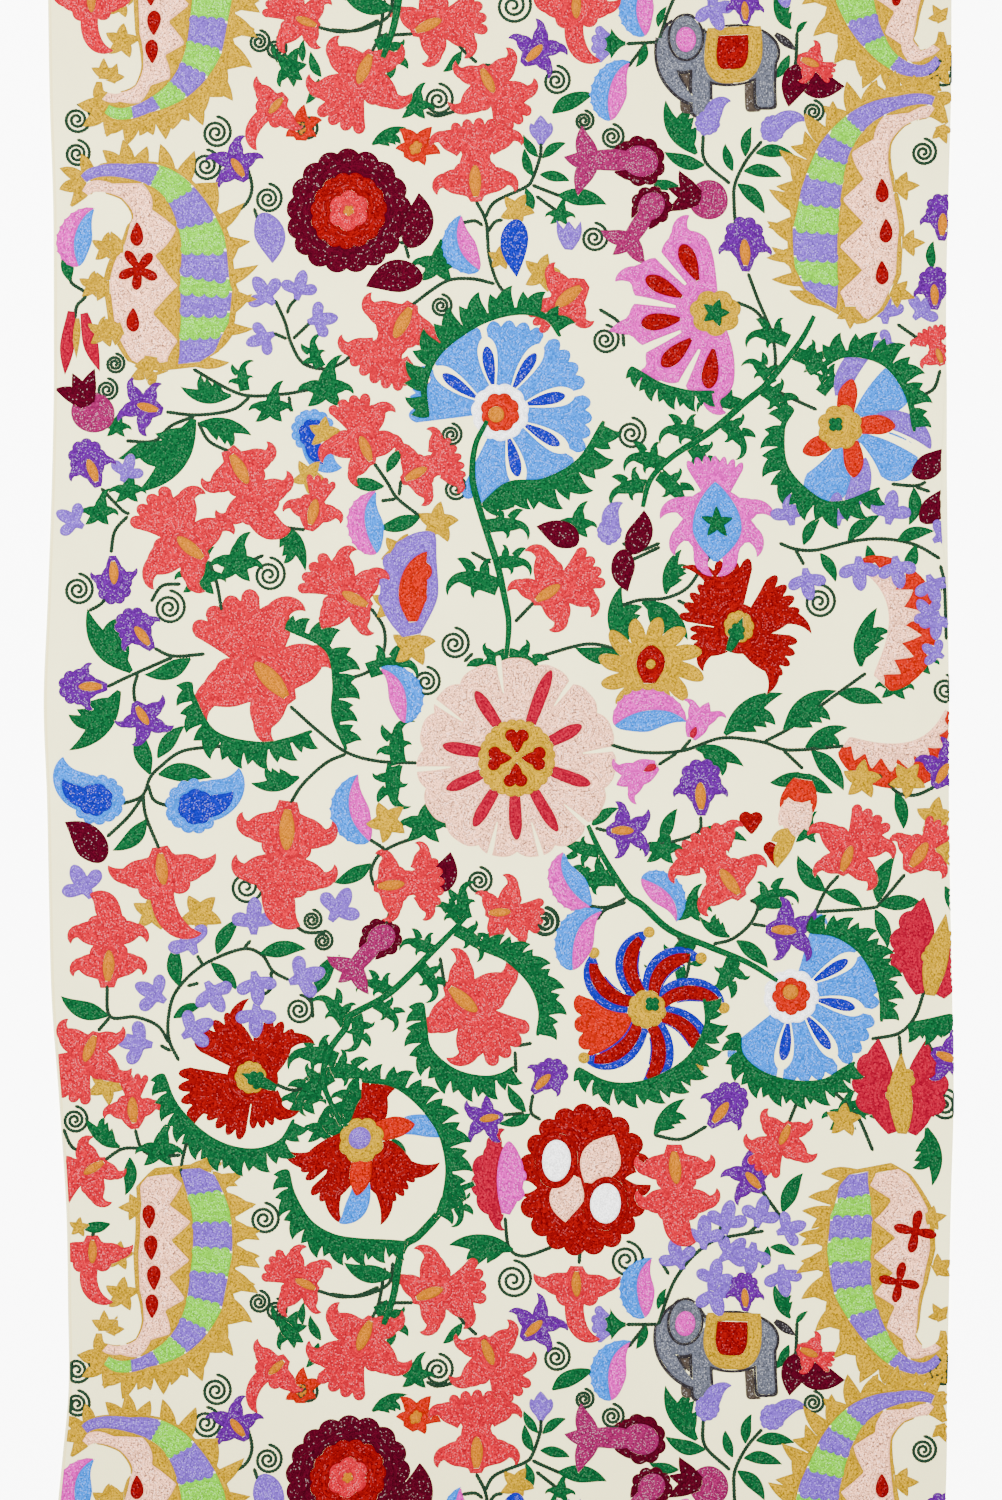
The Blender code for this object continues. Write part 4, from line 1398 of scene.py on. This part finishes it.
def outline(loops, cutters):
    """The edge of what the loops cover together, less the cutters, as closed loops."""
    cutters = meeting(loops, cutters)
    places, faces = triangulate(loops + cutters)
    centre = places[faces].mean(1)
    kept = faces[covered(centre, loops) & ~covered(centre, cutters)]
    sides = {(a, b) for face in kept.tolist() for a, b in zip(face, face[1:] + face[:1])}
    following = {}
    for a, b in sorted(sides):
        if (b, a) not in sides:
            following.setdefault(a, []).append(b)
    closed = []
    while following:
        point = next(iter(following))
        chain = []
        while point in following:
            chain.append(point)
            ends = following[point]
            after = ends.pop()
            if not ends:
                del following[point]
            point = after
        closed.append(thinned(places[chain]))
    return [loop for loop in closed if len(loop) > 3 and abs(loop_area(loop)) > LEAST_AREA]


def thinned(loop, least=0.6):
    """The loop without points that nearly coincide."""
    kept = [loop[0]]
    for point in loop[1:]:
        if math.hypot(*(point - kept[-1])) > least:
            kept.append(point)
    return np.array(kept)


def loop_area(loop):
    after = np.roll(loop, -1, 0)
    return (loop[:, 0] * after[:, 1] - loop[:, 1] * after[:, 0]).sum() / 2


def nearest(points, starts, ends):
    """For each point, the number of the nearest side and how far off it is."""
    span = ends - starts
    size = np.maximum((span**2).sum(1), 1e-9)
    to = points[:, None] - starts[None]
    share = np.clip((to * span).sum(2) / size, 0, 1)
    gap = to - share[..., None] * span
    distance = np.sqrt((gap**2).sum(2))
    which = distance.argmin(1)
    return which, distance[np.arange(len(points)), which]


class Stitches:
    """The meshes of one piece of embroidery, gathered patch by patch. A motif stops where
    one that was worked before it lies."""

    worked = {}

    def __init__(self, name, seed):
        self.name = name
        self.worked[name] = []
        self.sizes = bpy.context.scene.suzani_sizes
        self.chance = np.random.default_rng(seed)
        self.cutters = edge_cutters()
        self.places, self.faces, self.stitch, self.uses = [], [], [], []
        self.colours = []
        self.count = 0

    def add(self, colour, points, height, faces, stitch):
        """One mesh on the cotton, in one colour, with stitch coordinates for its corners."""
        if colour not in self.colours:
            self.colours.append(colour)
        self.places.append(lay(points, height))
        self.faces.append(faces + self.count)
        self.stitch.append(stitch)
        self.uses.append(np.full(len(faces), self.colours.index(colour)))
        self.count += len(points)

    def patch(self, colour, loops, cutters):
        """Fills what the loops cover, less the cutters."""
        edges = outline(loops, list(cutters) + self.cutters)
        if not edges:
            return
        grid = self.sizes.fill_grid / STEP
        ring = self.sizes.shoulder / STEP * 0.5
        starts = np.concatenate(edges)
        ends = np.concatenate([np.roll(edge, -1, 0) for edge in edges])
        run = ends - np.concatenate([np.roll(edge, 1, 0) for edge in edges])
        inward = np.stack([-run[:, 1], run[:, 0]], 1) / np.maximum(np.hypot(*run.T), 1e-6)[:, None]
        low, high = starts.min(0), starts.max(0)
        columns = np.arange(low[0], high[0], grid)
        across, up = np.meshgrid(columns, np.arange(low[1], high[1], grid * GRID_ROW))
        across[1::2] += grid / 2
        inner = np.stack([across.ravel(), up.ravel()], 1)
        inner += self.chance.normal(0, grid * GRID_JITTER, inner.shape)
        inner = np.concatenate([starts + inward * ring, inner])
        least = np.full(len(inner), ring + grid * 0.45)
        least[: len(starts)] = ring * 0.75
        keep = (nearest(inner, starts, ends)[1] > least) & (winding(inner, edges) != 0)
        points, faces = triangulate(edges, inner[keep])
        centre = points[faces].mean(1)
        faces = faces[winding(centre, edges) != 0]
        depth = nearest(points, starts, ends)[1]
        share = np.clip(depth * STEP / self.sizes.shoulder, 0, 1)
        height = self.sizes.pile * np.sqrt(share * (2 - share))
        height += self.chance.uniform(-1, 1, len(points)) * self.sizes.lump * np.clip(share * 2, 0, 1)
        sides = np.hypot(*(ends - starts).T)
        before = np.concatenate([[0], np.cumsum(sides)[:-1]]) + self.chance.uniform(0, 400)
        side = nearest(points[faces].mean(1), starts, ends)[0]
        ahead = (ends - starts)[side] / np.maximum(sides[side], 1e-6)[:, None]
        to = points[faces] - starts[side][:, None]
        along = (to * ahead[:, None]).sum(2) + before[side][:, None]
        deep = np.abs(to[..., 0] * ahead[:, None, 1] - to[..., 1] * ahead[:, None, 0])
        self.add(colour, points, height, faces, np.stack([along, deep], 2) * STEP)

    def motif(self, patches):
        """Fills the patches of one motif: each is cut where a later one lies."""
        own = [loop for patch in patches for loop in patch[1]]
        low = np.min([loop.min(0) for loop in own], 0)
        high = np.max([loop.max(0) for loop in own], 0)
        before = []
        for rows in self.worked.values():
            if rows:
                corners = np.array([row[:4] for row in rows])
                near = (corners[:, :2] < high).all(1) & (corners[:, 2:] > low).all(1)
                before += [rows[number][4] for number in near.nonzero()[0]]
        for number, (colour, loops) in enumerate(patches):
            later = [loop for patch in patches[number + 1:] for loop in patch[1]]
            if colour != "bare":
                self.patch(colour, loops, meeting(loops, later + before))
        self.worked[self.name] += [(*loop.min(0), *loop.max(0), loop) for loop in own]

    def row(self, colour, points, thick):
        """One row of chain stitch along a line of layout points, thicker by a factor."""
        link = self.sizes.loop_length / STEP / 2
        gaps = np.hypot(*np.diff(points, axis=0).T)
        run = np.concatenate([[0], np.cumsum(gaps)])
        count = max(3, int(run[-1] / link))
        place = np.linspace(0, run[-1], count + 1)
        line = np.stack([np.interp(place, run, points[:, 0]), np.interp(place, run, points[:, 1])], 1)
        inside = ~covered(line, self.cutters)
        line = line[inside]
        if len(line) < 4:
            return
        ahead = np.gradient(line, axis=0)
        ahead /= np.maximum(np.hypot(*ahead.T), 1e-6)[:, None]
        side = np.stack([ahead[:, 1], -ahead[:, 0]], 1)
        count = len(line)
        swell = np.where(np.arange(count) % 2 == 0, 1.0, 0.8)
        swell[0] = swell[-1] = 0.35
        half = self.sizes.loop_width / STEP * 0.42 * thick * swell
        offset = np.array([-1.0, -0.6, 0.0, 0.6, 1.0])
        rise = np.array([-0.05, 0.75, 1.0, 0.75, -0.05])
        spots = line[:, None] + side[:, None] * (half[:, None] * offset)[..., None]
        height = self.sizes.cord * rise[None] * np.where(swell < 0.5, 0.6, swell)[:, None]
        number = np.arange(count * 5).reshape(count, 5)
        a, b = number[:-1, :-1].ravel(), number[:-1, 1:].ravel()
        c, d = number[1:, 1:].ravel(), number[1:, :-1].ravel()
        faces = np.concatenate([np.stack([a, b, c], 1), np.stack([a, c, d], 1)])
        along = np.arange(count)[:, None] * link * STEP * np.ones(5)
        deep = np.ones((count, 1)) * self.sizes.loop_width * (1.5 + offset * 0.3)
        stitch = np.stack([along.ravel(), deep.ravel()], 1)[faces]
        self.add(colour, spots.reshape(-1, 2), height.ravel(), faces, stitch)

    def finish(self):
        """The piece itself, joined to the root."""
        mesh = bpy.data.meshes.new(self.name)
        mesh.from_pydata(np.concatenate(self.places).tolist(), [], np.concatenate(self.faces).tolist())
        coordinates = mesh.uv_layers.new(name="stitch")
        coordinates.data.foreach_set("uv", np.concatenate(self.stitch).ravel().astype(np.float32))
        mesh.polygons.foreach_set("material_index", np.concatenate(self.uses).astype(np.int32))
        for colour in self.colours:
            mesh.materials.append(thread_material(colour))
        mesh.shade_smooth()
        mesh.update()
        piece = bpy.data.objects.new(self.name, mesh)
        bpy.context.scene.collection.objects.link(piece)
        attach(piece, "root")


def curve_through(points, spacing=1.6):
    """A smooth line through (across, down) points, as layout points."""
    points = np.array(points, float) * (1, -1)
    padded = np.concatenate([[2 * points[0] - points[1]], points, [2 * points[-1] - points[-2]]])
    parts = []
    for a, b, c, d in zip(padded, padded[1:], padded[2:], padded[3:]):
        count = max(2, int(math.hypot(*(c - b)) / spacing))
        t = (np.arange(count) / count)[:, None]
        parts.append(0.5 * (2 * b + (c - a) * t + (2 * a - 5 * b + 4 * c - d) * t**2
                            + (3 * b - a - 3 * c + d) * t**3))
    return np.concatenate(parts + [points[-1:]])


# Shaders


class Flow:
    """A socket of a shader that sums can be written with."""

    def __init__(self, tree, socket=None):
        self.tree = tree
        self.socket = socket

    def node(self, kind, settings=None, inputs=None, output=0):
        """A new node of any kind: settings first, then inputs as values or links."""
        node = self.tree.nodes.new("ShaderNode" + kind)
        for name, value in (settings or {}).items():
            setattr(node, name, value)
        for name, value in (inputs or {}).items():
            if isinstance(value, Flow):
                self.tree.links.new(value.socket, node.inputs[name])
            else:
                node.inputs[name].default_value = value
        return Flow(self.tree, node.outputs[output])

    def sum(self, operation, first, second):
        return self.node("Math", {"operation": operation}, {0: first, 1: second})

    def __add__(self, other):
        return self.sum("ADD", self, other)

    def __sub__(self, other):
        return self.sum("SUBTRACT", self, other)

    def __rsub__(self, other):
        return self.sum("SUBTRACT", other, self)

    def __mul__(self, other):
        return self.sum("MULTIPLY", self, other)

    def smooth(self, low, high):
        """0 below low, 1 above high, and a smooth step between."""
        ends = {"Value": self, "From Min": low, "From Max": high}
        return self.node("MapRange", {"interpolation_type": "SMOOTHSTEP"}, ends)

    def mix(self, first, second):
        """A colour from first, where this is 0, to second, where it is 1."""
        return self.node("Mix", {"data_type": "RGBA"}, {0: self, 6: first, 7: second}, 2)

    def part(self, number):
        """One of the three values of a vector or colour."""
        return self.node("SeparateXYZ", None, {0: self}, number)

    def times(self, *factors):
        return self.node("VectorMath", {"operation": "MULTIPLY"}, {0: self, 1: factors})

    def feed(self, shader, name):
        self.tree.links.new(self.socket, shader.inputs[name])


def new_material(name):
    """A material with its shader, and a socket to write sums from."""
    material = bpy.data.materials.new(name)
    material.use_nodes = True
    return material, material.node_tree.nodes["Principled BSDF"], Flow(material.node_tree)


def tint(colour, factor, white=0.0):
    """A colour made darker by a factor, or mixed with white."""
    return tuple(value * factor * (1 - white) + white for value in colour) + (1.0,)


# How each thread's fill looks: the size of its stitches, how much lighter its flecks of painted highlight
# are, how many there are, and how much darker the painted shade in its gaps is
Look = namedtuple("Look", "size fleck share gap")
LOOKS = {
    "coral": Look(0.75, 0.08, 0.34, 0.5),
    "burgundy": Look(0.7, 0.14, 0.12, 0.45),
    "crimson": Look(0.8, 0.03, 0.22, 0.4),
    "raspberry": Look(0.8, 0.01, 0.2, 0.5),
    "orange": Look(0.8, 0.02, 0.3, 0.5),
    "blush": Look(0.7, 0.3, 0.3, 0.16),
    "leaf": Look(0.8, 0.02, 0.35, 0.4),
    "stem": Look(0.7, 0.05, 0.3, 0.7),
    "yellow": Look(0.8, 0.0, 0.35, 0.4),
    "amber": Look(0.6, 0.0, 0.3, 0.6),
    "grey": Look(0.7, 0.12, 0.4, 0.4),
    "white": Look(0.6, 0.3, 0.4, 0.7),
}
FINE_LOOK = Look(0.7, 0.12, 0.35, 0.5)

# What a thread's own colour is multiplied by: in its darkest and lightest stitches, in its
# flecks of painted highlight and in the row along an edge
DARKEST = 0.66
LIGHTEST = 1.24
PAINTED_HIGHLIGHT = 1.1
EDGE_ROW_SHADE = 0.72
STITCH_HEIGHT = 0.0006


def thread_material(name):
    """One colour of thread in rows of small stitches that follow a shape's edge, with painted highlights on
    some stitches and painted shade in the gaps between them.
    """
    known = bpy.data.materials.get("thread_" + name)
    if known:
        return known
    material, shader, start = new_material("thread_" + name)
    sizes = bpy.context.scene.suzani_sizes
    colour = getattr(bpy.context.scene.suzani_threads, name)
    look = LOOKS.get(name, FINE_LOOK)
    stitch = start.node("UVMap", {"uv_map": "stitch"})
    scaled = stitch.times(1 / (sizes.loop_length * look.size), 1 / (sizes.loop_width * look.size), 0)
    cell = {"Vector": scaled, "Scale": 1.0, "Randomness": 0.75}
    gap = start.node("TexVoronoi", {"voronoi_dimensions": "2D"}, cell)
    tone = start.node("TexVoronoi", {"voronoi_dimensions": "2D"}, cell, 1)
    shade = tone.part(0).mix(tint(colour, DARKEST), tint(colour, LIGHTEST))
    # Painted highlight: paler flecks on a share of the stitches, kept off the gaps between them
    pale = tone.part(1).smooth(1 - look.share, 1.05 - look.share) * (1 - gap.smooth(0.2, 0.42))
    shade = pale.mix(shade, tint(colour, PAINTED_HIGHLIGHT, look.fleck))
    # Painted shade: each stitch's colour darkens toward the gaps between stitches
    shade = gap.smooth(0.4, 0.72).mix(shade, tint(colour, look.gap))
    edge = 1 - stitch.part(1).smooth(sizes.edge_row * 0.55, sizes.edge_row * 0.95)
    shade = (edge * 0.6).mix(shade, tint(colour, EDGE_ROW_SHADE))
    shade.feed(shader, "Base Color")
    height = 1 - gap * gap
    relief = height.node("Bump", None, {"Strength": 0.9, "Distance": STITCH_HEIGHT, "Height": height})
    relief.feed(shader, "Normal")
    shader.inputs["Roughness"].default_value = 0.6
    shader.inputs["Specular IOR Level"].default_value = 0.0
    return material


# The cotton: the share of red, green and blue that painted shade leaves toward its ends, the coloured
# thread along its selvedge, and its weave
END_PAINTED_SHADE = (0.86, 0.8, 0.74)
PAINTED_SHADE_FROM_TO = (0.75, 1.2)
SELVEDGE_THREAD = (0.78, 0.62, 0.22, 1.0)
SELVEDGE_THREAD_AT = 0.0035
WEAVE_SCALE = 140.0
WEAVE_HEIGHT = 0.0002


def cotton_material():
    """Plain-woven cream cotton, with painted shade that darkens it toward the cut ends."""
    material, shader, start = new_material("cream_cotton")
    colour = bpy.context.scene.suzani_threads.cream
    flat = start.node("UVMap", {"uv_map": "flat"})
    from_edge, along = flat.part(0), flat.part(1)
    mottle = start.node("TexNoise", None, {"Vector": flat.times(1, 1, 0), "Scale": 7.0, "Detail": 4.0})
    shade = mottle.smooth(0.35, 0.7).mix(tint(colour, 0.96), tint(colour, 1.0))
    # Painted shade: the cotton darkens toward both cut ends, where the light falls off
    ends = start.sum("ABSOLUTE", along, 0.0).smooth(*PAINTED_SHADE_FROM_TO)
    darker = tuple(value * dim for value, dim in zip(colour, END_PAINTED_SHADE)) + (1.0,)
    shade = (ends * 0.5).mix(shade, darker)
    off_line = start.sum("ABSOLUTE", from_edge - SELVEDGE_THREAD_AT, 0.0)
    line = (1 - off_line.smooth(0.0008, 0.0022)) * 0.55
    shade = line.mix(shade, SELVEDGE_THREAD)
    shade.feed(shader, "Base Color")
    yarn = {"Vector": flat, "Scale": WEAVE_SCALE, "Distortion": 0.6}
    warp, weft = (start.node("TexWave", {"bands_direction": way}, yarn) for way in "XY")
    relief = start.node("Bump", None, {"Strength": 0.5, "Distance": WEAVE_HEIGHT, "Height": warp + weft})
    relief.feed(shader, "Normal")
    shader.inputs["Roughness"].default_value = 0.9
    shader.inputs["Specular IOR Level"].default_value = 0.2
    return material


# The pieces: the ground's mesh is closer together near the lip of the fold, and how thick the
# rows of the stems and spirals are
LIP_ZONE = 0.012
LIP_GRID = 0.0012
STRIP_GRID = 0.007
STEM_THICK = 2.3
SPIRAL_THICK = 2.0


def spread(start, end, spacing, zones=()):
    """Places from start to end, evenly spaced but closer together inside the zones."""
    fine = np.linspace(start, end, 4001)
    density = np.full(len(fine), 1 / spacing)
    for low, high, closer in zones:
        inside = (fine > low) & (fine < high)
        density[inside] = np.maximum(density[inside], 1 / closer)
    total = np.concatenate([[0], np.cumsum((density[1:] + density[:-1]) / 2 * np.diff(fine))])
    count = math.ceil(total[-1])
    return np.interp(np.linspace(0, total[-1], count + 1), total, fine)


def ground_cloth():
    """The cotton with its fold, creases, curled edges and pucker, in place of the plain solid."""
    sizes = bpy.context.scene.suzani_sizes
    cotton = sizes.cotton
    half = CLOTH_LENGTH / 2
    crease_x = [(c.x - c.width / 2, c.x + c.width / 2, c.width / 8) for c in CREASES if abs(c.angle) < 50]
    crease_y = [(c.y - c.width, c.y + c.width, c.width / 8) for c in CREASES if abs(c.angle) > 50]
    rows = spread(-half, half, sizes.grid, crease_y)
    left = edge_at("left", rows)
    foot = slope_foot(rows)
    columns = spread(left.mean(), foot.mean(), sizes.grid, crease_x)
    share = (columns - columns[0]) / (columns[-1] - columns[0])
    middle, radius = fold_middle(rows, cotton)
    strip = foot + SLOPE_WIDTH
    inner = radius - cotton
    section = []
    for part in np.linspace(0, 1, 5):
        section.append((strip + (middle - strip) * part, cotton + 0 * rows))
    for turn in np.linspace(0, math.pi, 8)[1:-1]:
        section.append((middle + inner * math.sin(turn), cotton + inner * (1 - math.cos(turn))))
    wide = spread(LIP_ZONE, TURN_UNDER_WIDTH + 0.001, STRIP_GRID)[1:]
    over = np.concatenate([spread(0, LIP_ZONE, LIP_GRID), wide])
    for back in over:
        x = np.maximum(middle - back, strip)
        section.append((x, edge_lift(x, rows)))
    for part in np.linspace(0, 1, 8)[1:]:
        x = strip - SLOPE_WIDTH * part
        section.append((x, UPPER_LAYER * (1 - ease(part)) + 0 * rows))
    for part in share[::-1][1:]:
        section.append((left + (foot - left) * part, 0 * rows))
    x = np.array([point[0] for point in section]).T
    z = np.array([point[1] for point in section]).T
    y = np.repeat(rows[:, None], x.shape[1], 1)
    z = z + lift_at(np.minimum(x, middle[:, None]), y)
    run = np.hypot(np.diff(x, axis=1), np.diff(z, axis=1))
    flat_x = np.concatenate([run[:, ::-1].cumsum(1)[:, ::-1], np.zeros((len(rows), 1))], 1)
    number = np.arange(x.size).reshape(x.shape)
    faces = np.stack([number[:-1, :-1], number[1:, :-1], number[1:, 1:], number[:-1, 1:]], 2).reshape(-1, 4)
    mesh = bpy.data.meshes.new("ground_cloth")
    mesh.from_pydata(np.stack([x, y, z], 2).reshape(-1, 3).tolist(), [], faces.tolist())
    coordinates = mesh.uv_layers.new(name="flat")
    flat = np.stack([flat_x.ravel(), y.ravel()], 1)[faces.ravel()]
    coordinates.data.foreach_set("uv", flat.ravel().astype(np.float32))
    mesh.materials.append(cotton_material())
    mesh.shade_smooth()
    piece = bpy.data.objects.new("ground_cloth", mesh)
    bpy.context.scene.collection.objects.link(piece)
    thickness = piece.modifiers.new("thickness", "SOLIDIFY")
    thickness.thickness = cotton
    thickness.offset = 1.0
    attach(piece, "root")
    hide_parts(CLOTH_NODE)


def fill(stitches, rows):
    """Works the motifs of one table, wherever the design repeats."""
    for kind, places in rows:
        for place in (Place(*row) for row in places):
            for move in repeated(place.across, place.down, place.size):
                pen = Pen(place.across, place.down + move, place.size, place.turn, place.flip)
                stitches.motif(kind(pen) if callable(kind) else drawn(SHAPES[kind], pen))


def work(name):
    """One piece of embroidery, from its table of motifs."""
    stitches = Stitches(name, len(name))
    fill(stitches, MOTIFS[name])
    stitches.finish()


def paisleys():
    """The striped paisleys with their drops and tufts."""
    stitches = Stitches("paisleys", 9)
    fill(stitches, PAISLEY_HEARTS)
    for shape in PAISLEYS:
        for bends in copies(shape.bends):
            stitches.motif(paisley(shape, bends))
    stitches.finish()


def frills():
    """The toothed arcs and the thick stems."""
    stitches = Stitches("frills", 6)
    for frill in FRILLS:
        for points in copies(frill.points):
            stitches.motif(toothed_arc(frill._replace(points=points)))
    for vine in VINES:
        for points in copies(vine.points):
            stitches.motif([("leaf", [STEP_PEN.band(tapered(points, vine.width * 1.2, 0.6))])])
    stitches.finish()


def stems():
    """The thin stems."""
    stitches = Stitches("stems", 7)
    for stem in STEMS:
        for points in copies(stem):
            stitches.row("stem", curve_through(points), STEM_THICK)
    stitches.finish()


def spirals():
    """The small spirals that fill the ground between motifs."""
    stitches = Stitches("spirals", 8)
    for spiral in SPIRALS:
        for move in repeated(spiral.across, spiral.down, spiral.radius):
            share = np.linspace(0, 1, int(SPIRAL_TURNS * 26))
            angle = share * SPIRAL_TURNS * 2 * math.pi
            reach = spiral.radius * (1.18 - 1.06 * share**0.85)
            across, up = spiral.across + reach * np.sin(angle), reach * np.cos(angle) - spiral.down - move
            stitches.row("stem", np.stack([across, up], 1), SPIRAL_THICK)
    stitches.finish()


# The surface, the light and the camera

LENS = 85.0
SENSOR = 36.0
FRAME_HEIGHT = 1500
FRAME_MIDDLE = 501
SURFACE_REACH = 4.0
SURFACE_GLOW = 6.0
SKY_STRENGTH = 1.8
Lamp = namedtuple("Lamp", "name x y z size power")
LAMPS = (
    Lamp("overhead", 0.2, 0.6, 3.6, 3.2, 290),
    Lamp("side", -3.2, 1.6, 1.8, 1.6, 160),
)


def light(name, x, y, z, size, energy):
    """A soft square lamp that points at the middle of the cloth."""
    lamp = bpy.data.lights.new(name, "AREA")
    lamp.size = size
    lamp.energy = energy
    holder = bpy.data.objects.new(name, lamp)
    holder.location = (x, y, z)
    holder.rotation_euler = (-Vector((x, y, z))).to_track_quat("-Z", "Y").to_euler()
    bpy.context.scene.collection.objects.link(holder)


def stage():
    """A plain pale surface under the cloth, soft light and a camera straight above."""
    mesh = bpy.data.meshes.new("surface")
    corners = [(x * SURFACE_REACH, y * SURFACE_REACH, 0) for x, y in ((-1, -1), (1, -1), (1, 1), (-1, 1))]
    mesh.from_pydata(corners, [], [(0, 1, 2, 3)])
    material, shader = new_material("surface")[:2]
    shader.inputs["Base Color"].default_value = (0.95, 0.95, 0.95, 1)
    shader.inputs["Roughness"].default_value = 0.9
    shader.inputs["Emission Color"].default_value = (1, 1, 1, 1)
    shader.inputs["Emission Strength"].default_value = SURFACE_GLOW
    mesh.materials.append(material)
    surface = bpy.data.objects.new("surface", mesh)
    bpy.context.scene.collection.objects.link(surface)
    for lamp in LAMPS:
        light(*lamp)
    world = bpy.data.worlds.new("soft_light")
    world.use_nodes = True
    sky = world.node_tree.nodes["Background"].inputs
    sky["Color"].default_value = (1, 1, 1, 1)
    sky["Strength"].default_value = SKY_STRENGTH
    bpy.context.scene.world = world
    camera = bpy.data.cameras.new("camera")
    camera.lens = LENS
    camera.sensor_width = SENSOR
    holder = bpy.data.objects.new("camera", camera)
    distance = FRAME_HEIGHT * STEP * LENS / SENSOR
    holder.location = ((FRAME_MIDDLE - MIDDLE_ACROSS) * STEP, 0, distance)
    bpy.context.scene.collection.objects.link(holder)
    bpy.context.scene.camera = holder


# The add-on


MAKERS = {maker.__name__: maker for maker in (ground_cloth, stems, spirals, frills, paisleys, stage)}


class Piece:
    """Makes one piece by the function of its name, or else from its table of motifs."""

    bl_options = {"REGISTER", "UNDO"}

    def execute(self, context):
        name = self.bl_idname.removeprefix("SUZANI_OT_")
        if name in MAKERS:
            MAKERS[name]()
        else:
            work(name)
        return {"FINISHED"}


class SUZANI_OT_ground_cloth(Piece, bpy.types.Operator):
    """Lay out the cotton"""

    bl_idname = "suzani.ground_cloth"
    bl_label = "Cotton"


class SUZANI_OT_stems(Piece, bpy.types.Operator):
    """Work the stems"""

    bl_idname = "suzani.stems"
    bl_label = "Stems"


class SUZANI_OT_spirals(Piece, bpy.types.Operator):
    """Work the spirals"""

    bl_idname = "suzani.spirals"
    bl_label = "Spirals"


class SUZANI_OT_frills(Piece, bpy.types.Operator):
    """Work the toothed arcs and thick stems"""

    bl_idname = "suzani.frills"
    bl_label = "Arcs"


class SUZANI_OT_paisleys(Piece, bpy.types.Operator):
    """Work the striped paisleys"""

    bl_idname = "suzani.paisleys"
    bl_label = "Paisleys"


class SUZANI_OT_coral_lilies(Piece, bpy.types.Operator):
    """Work the coral lilies"""

    bl_idname = "suzani.coral_lilies"
    bl_label = "Coral lilies"


class SUZANI_OT_purple_irises(Piece, bpy.types.Operator):
    """Work the purple irises"""

    bl_idname = "suzani.purple_irises"
    bl_label = "Purple irises"


class SUZANI_OT_sprig_flowers(Piece, bpy.types.Operator):
    """Work the lavender sprigs"""

    bl_idname = "suzani.sprig_flowers"
    bl_label = "Sprigs"


class SUZANI_OT_stars(Piece, bpy.types.Operator):
    """Work the yellow stars"""

    bl_idname = "suzani.stars"
    bl_label = "Stars"


class SUZANI_OT_small_flowers(Piece, bpy.types.Operator):
    """Work the small flowers, drops and moons"""

    bl_idname = "suzani.small_flowers"
    bl_label = "Small flowers"


class SUZANI_OT_butterflies(Piece, bpy.types.Operator):
    """Work the butterflies"""

    bl_idname = "suzani.butterflies"
    bl_label = "Butterflies"


class SUZANI_OT_round_flowers(Piece, bpy.types.Operator):
    """Work the large round flowers"""

    bl_idname = "suzani.round_flowers"
    bl_label = "Round flowers"


class SUZANI_OT_carnations(Piece, bpy.types.Operator):
    """Work the carnations"""

    bl_idname = "suzani.carnations"
    bl_label = "Carnations"


class SUZANI_OT_plum_flowers(Piece, bpy.types.Operator):
    """Work the plum flowers"""

    bl_idname = "suzani.plum_flowers"
    bl_label = "Plum flowers"


class SUZANI_OT_elephants(Piece, bpy.types.Operator):
    """Work the elephants"""

    bl_idname = "suzani.elephants"
    bl_label = "Elephants"


class SUZANI_OT_leaves(Piece, bpy.types.Operator):
    """Work the leaves"""

    bl_idname = "suzani.leaves"
    bl_label = "Leaves"


class SUZANI_OT_stage(Piece, bpy.types.Operator):
    """Set up the surface, the light and the camera"""

    bl_idname = "suzani.stage"
    bl_label = "Stage"


OPERATORS = (
    SUZANI_OT_ground_cloth,
    SUZANI_OT_stems,
    SUZANI_OT_spirals,
    SUZANI_OT_frills,
    SUZANI_OT_paisleys,
    SUZANI_OT_coral_lilies,
    SUZANI_OT_purple_irises,
    SUZANI_OT_sprig_flowers,
    SUZANI_OT_stars,
    SUZANI_OT_small_flowers,
    SUZANI_OT_butterflies,
    SUZANI_OT_round_flowers,
    SUZANI_OT_carnations,
    SUZANI_OT_plum_flowers,
    SUZANI_OT_elephants,
    SUZANI_OT_leaves,
    SUZANI_OT_stage,
)


class SUZANI_PT_panel(bpy.types.Panel):
    """The sizes, the threads and a button for each piece"""

    bl_idname = "SUZANI_PT_panel"
    bl_label = "Suzani Cloth"
    bl_space_type = "VIEW_3D"
    bl_region_type = "UI"
    bl_category = "Suzani"

    def draw(self, context):
        for group in (context.scene.suzani_sizes, context.scene.suzani_threads):
            column = self.layout.column(align=True)
            for name in group.__annotations__:
                column.prop(group, name)
        for operator in OPERATORS:
            self.layout.operator(operator.bl_idname)


CLASSES = (SuzaniSizes, SuzaniThreads) + OPERATORS + (SUZANI_PT_panel,)


def register():
    for kind in CLASSES:
        bpy.utils.register_class(kind)
    bpy.types.Scene.suzani_sizes = PointerProperty(type=SuzaniSizes)
    bpy.types.Scene.suzani_threads = PointerProperty(type=SuzaniThreads)


def unregister():
    del bpy.types.Scene.suzani_threads
    del bpy.types.Scene.suzani_sizes
    for kind in reversed(CLASSES):
        bpy.utils.unregister_class(kind)


def main():
    register()
    for operator in OPERATORS:
        group, name = operator.bl_idname.split(".")
        getattr(getattr(bpy.ops, group), name)()


if __name__ == "__main__":
    main()
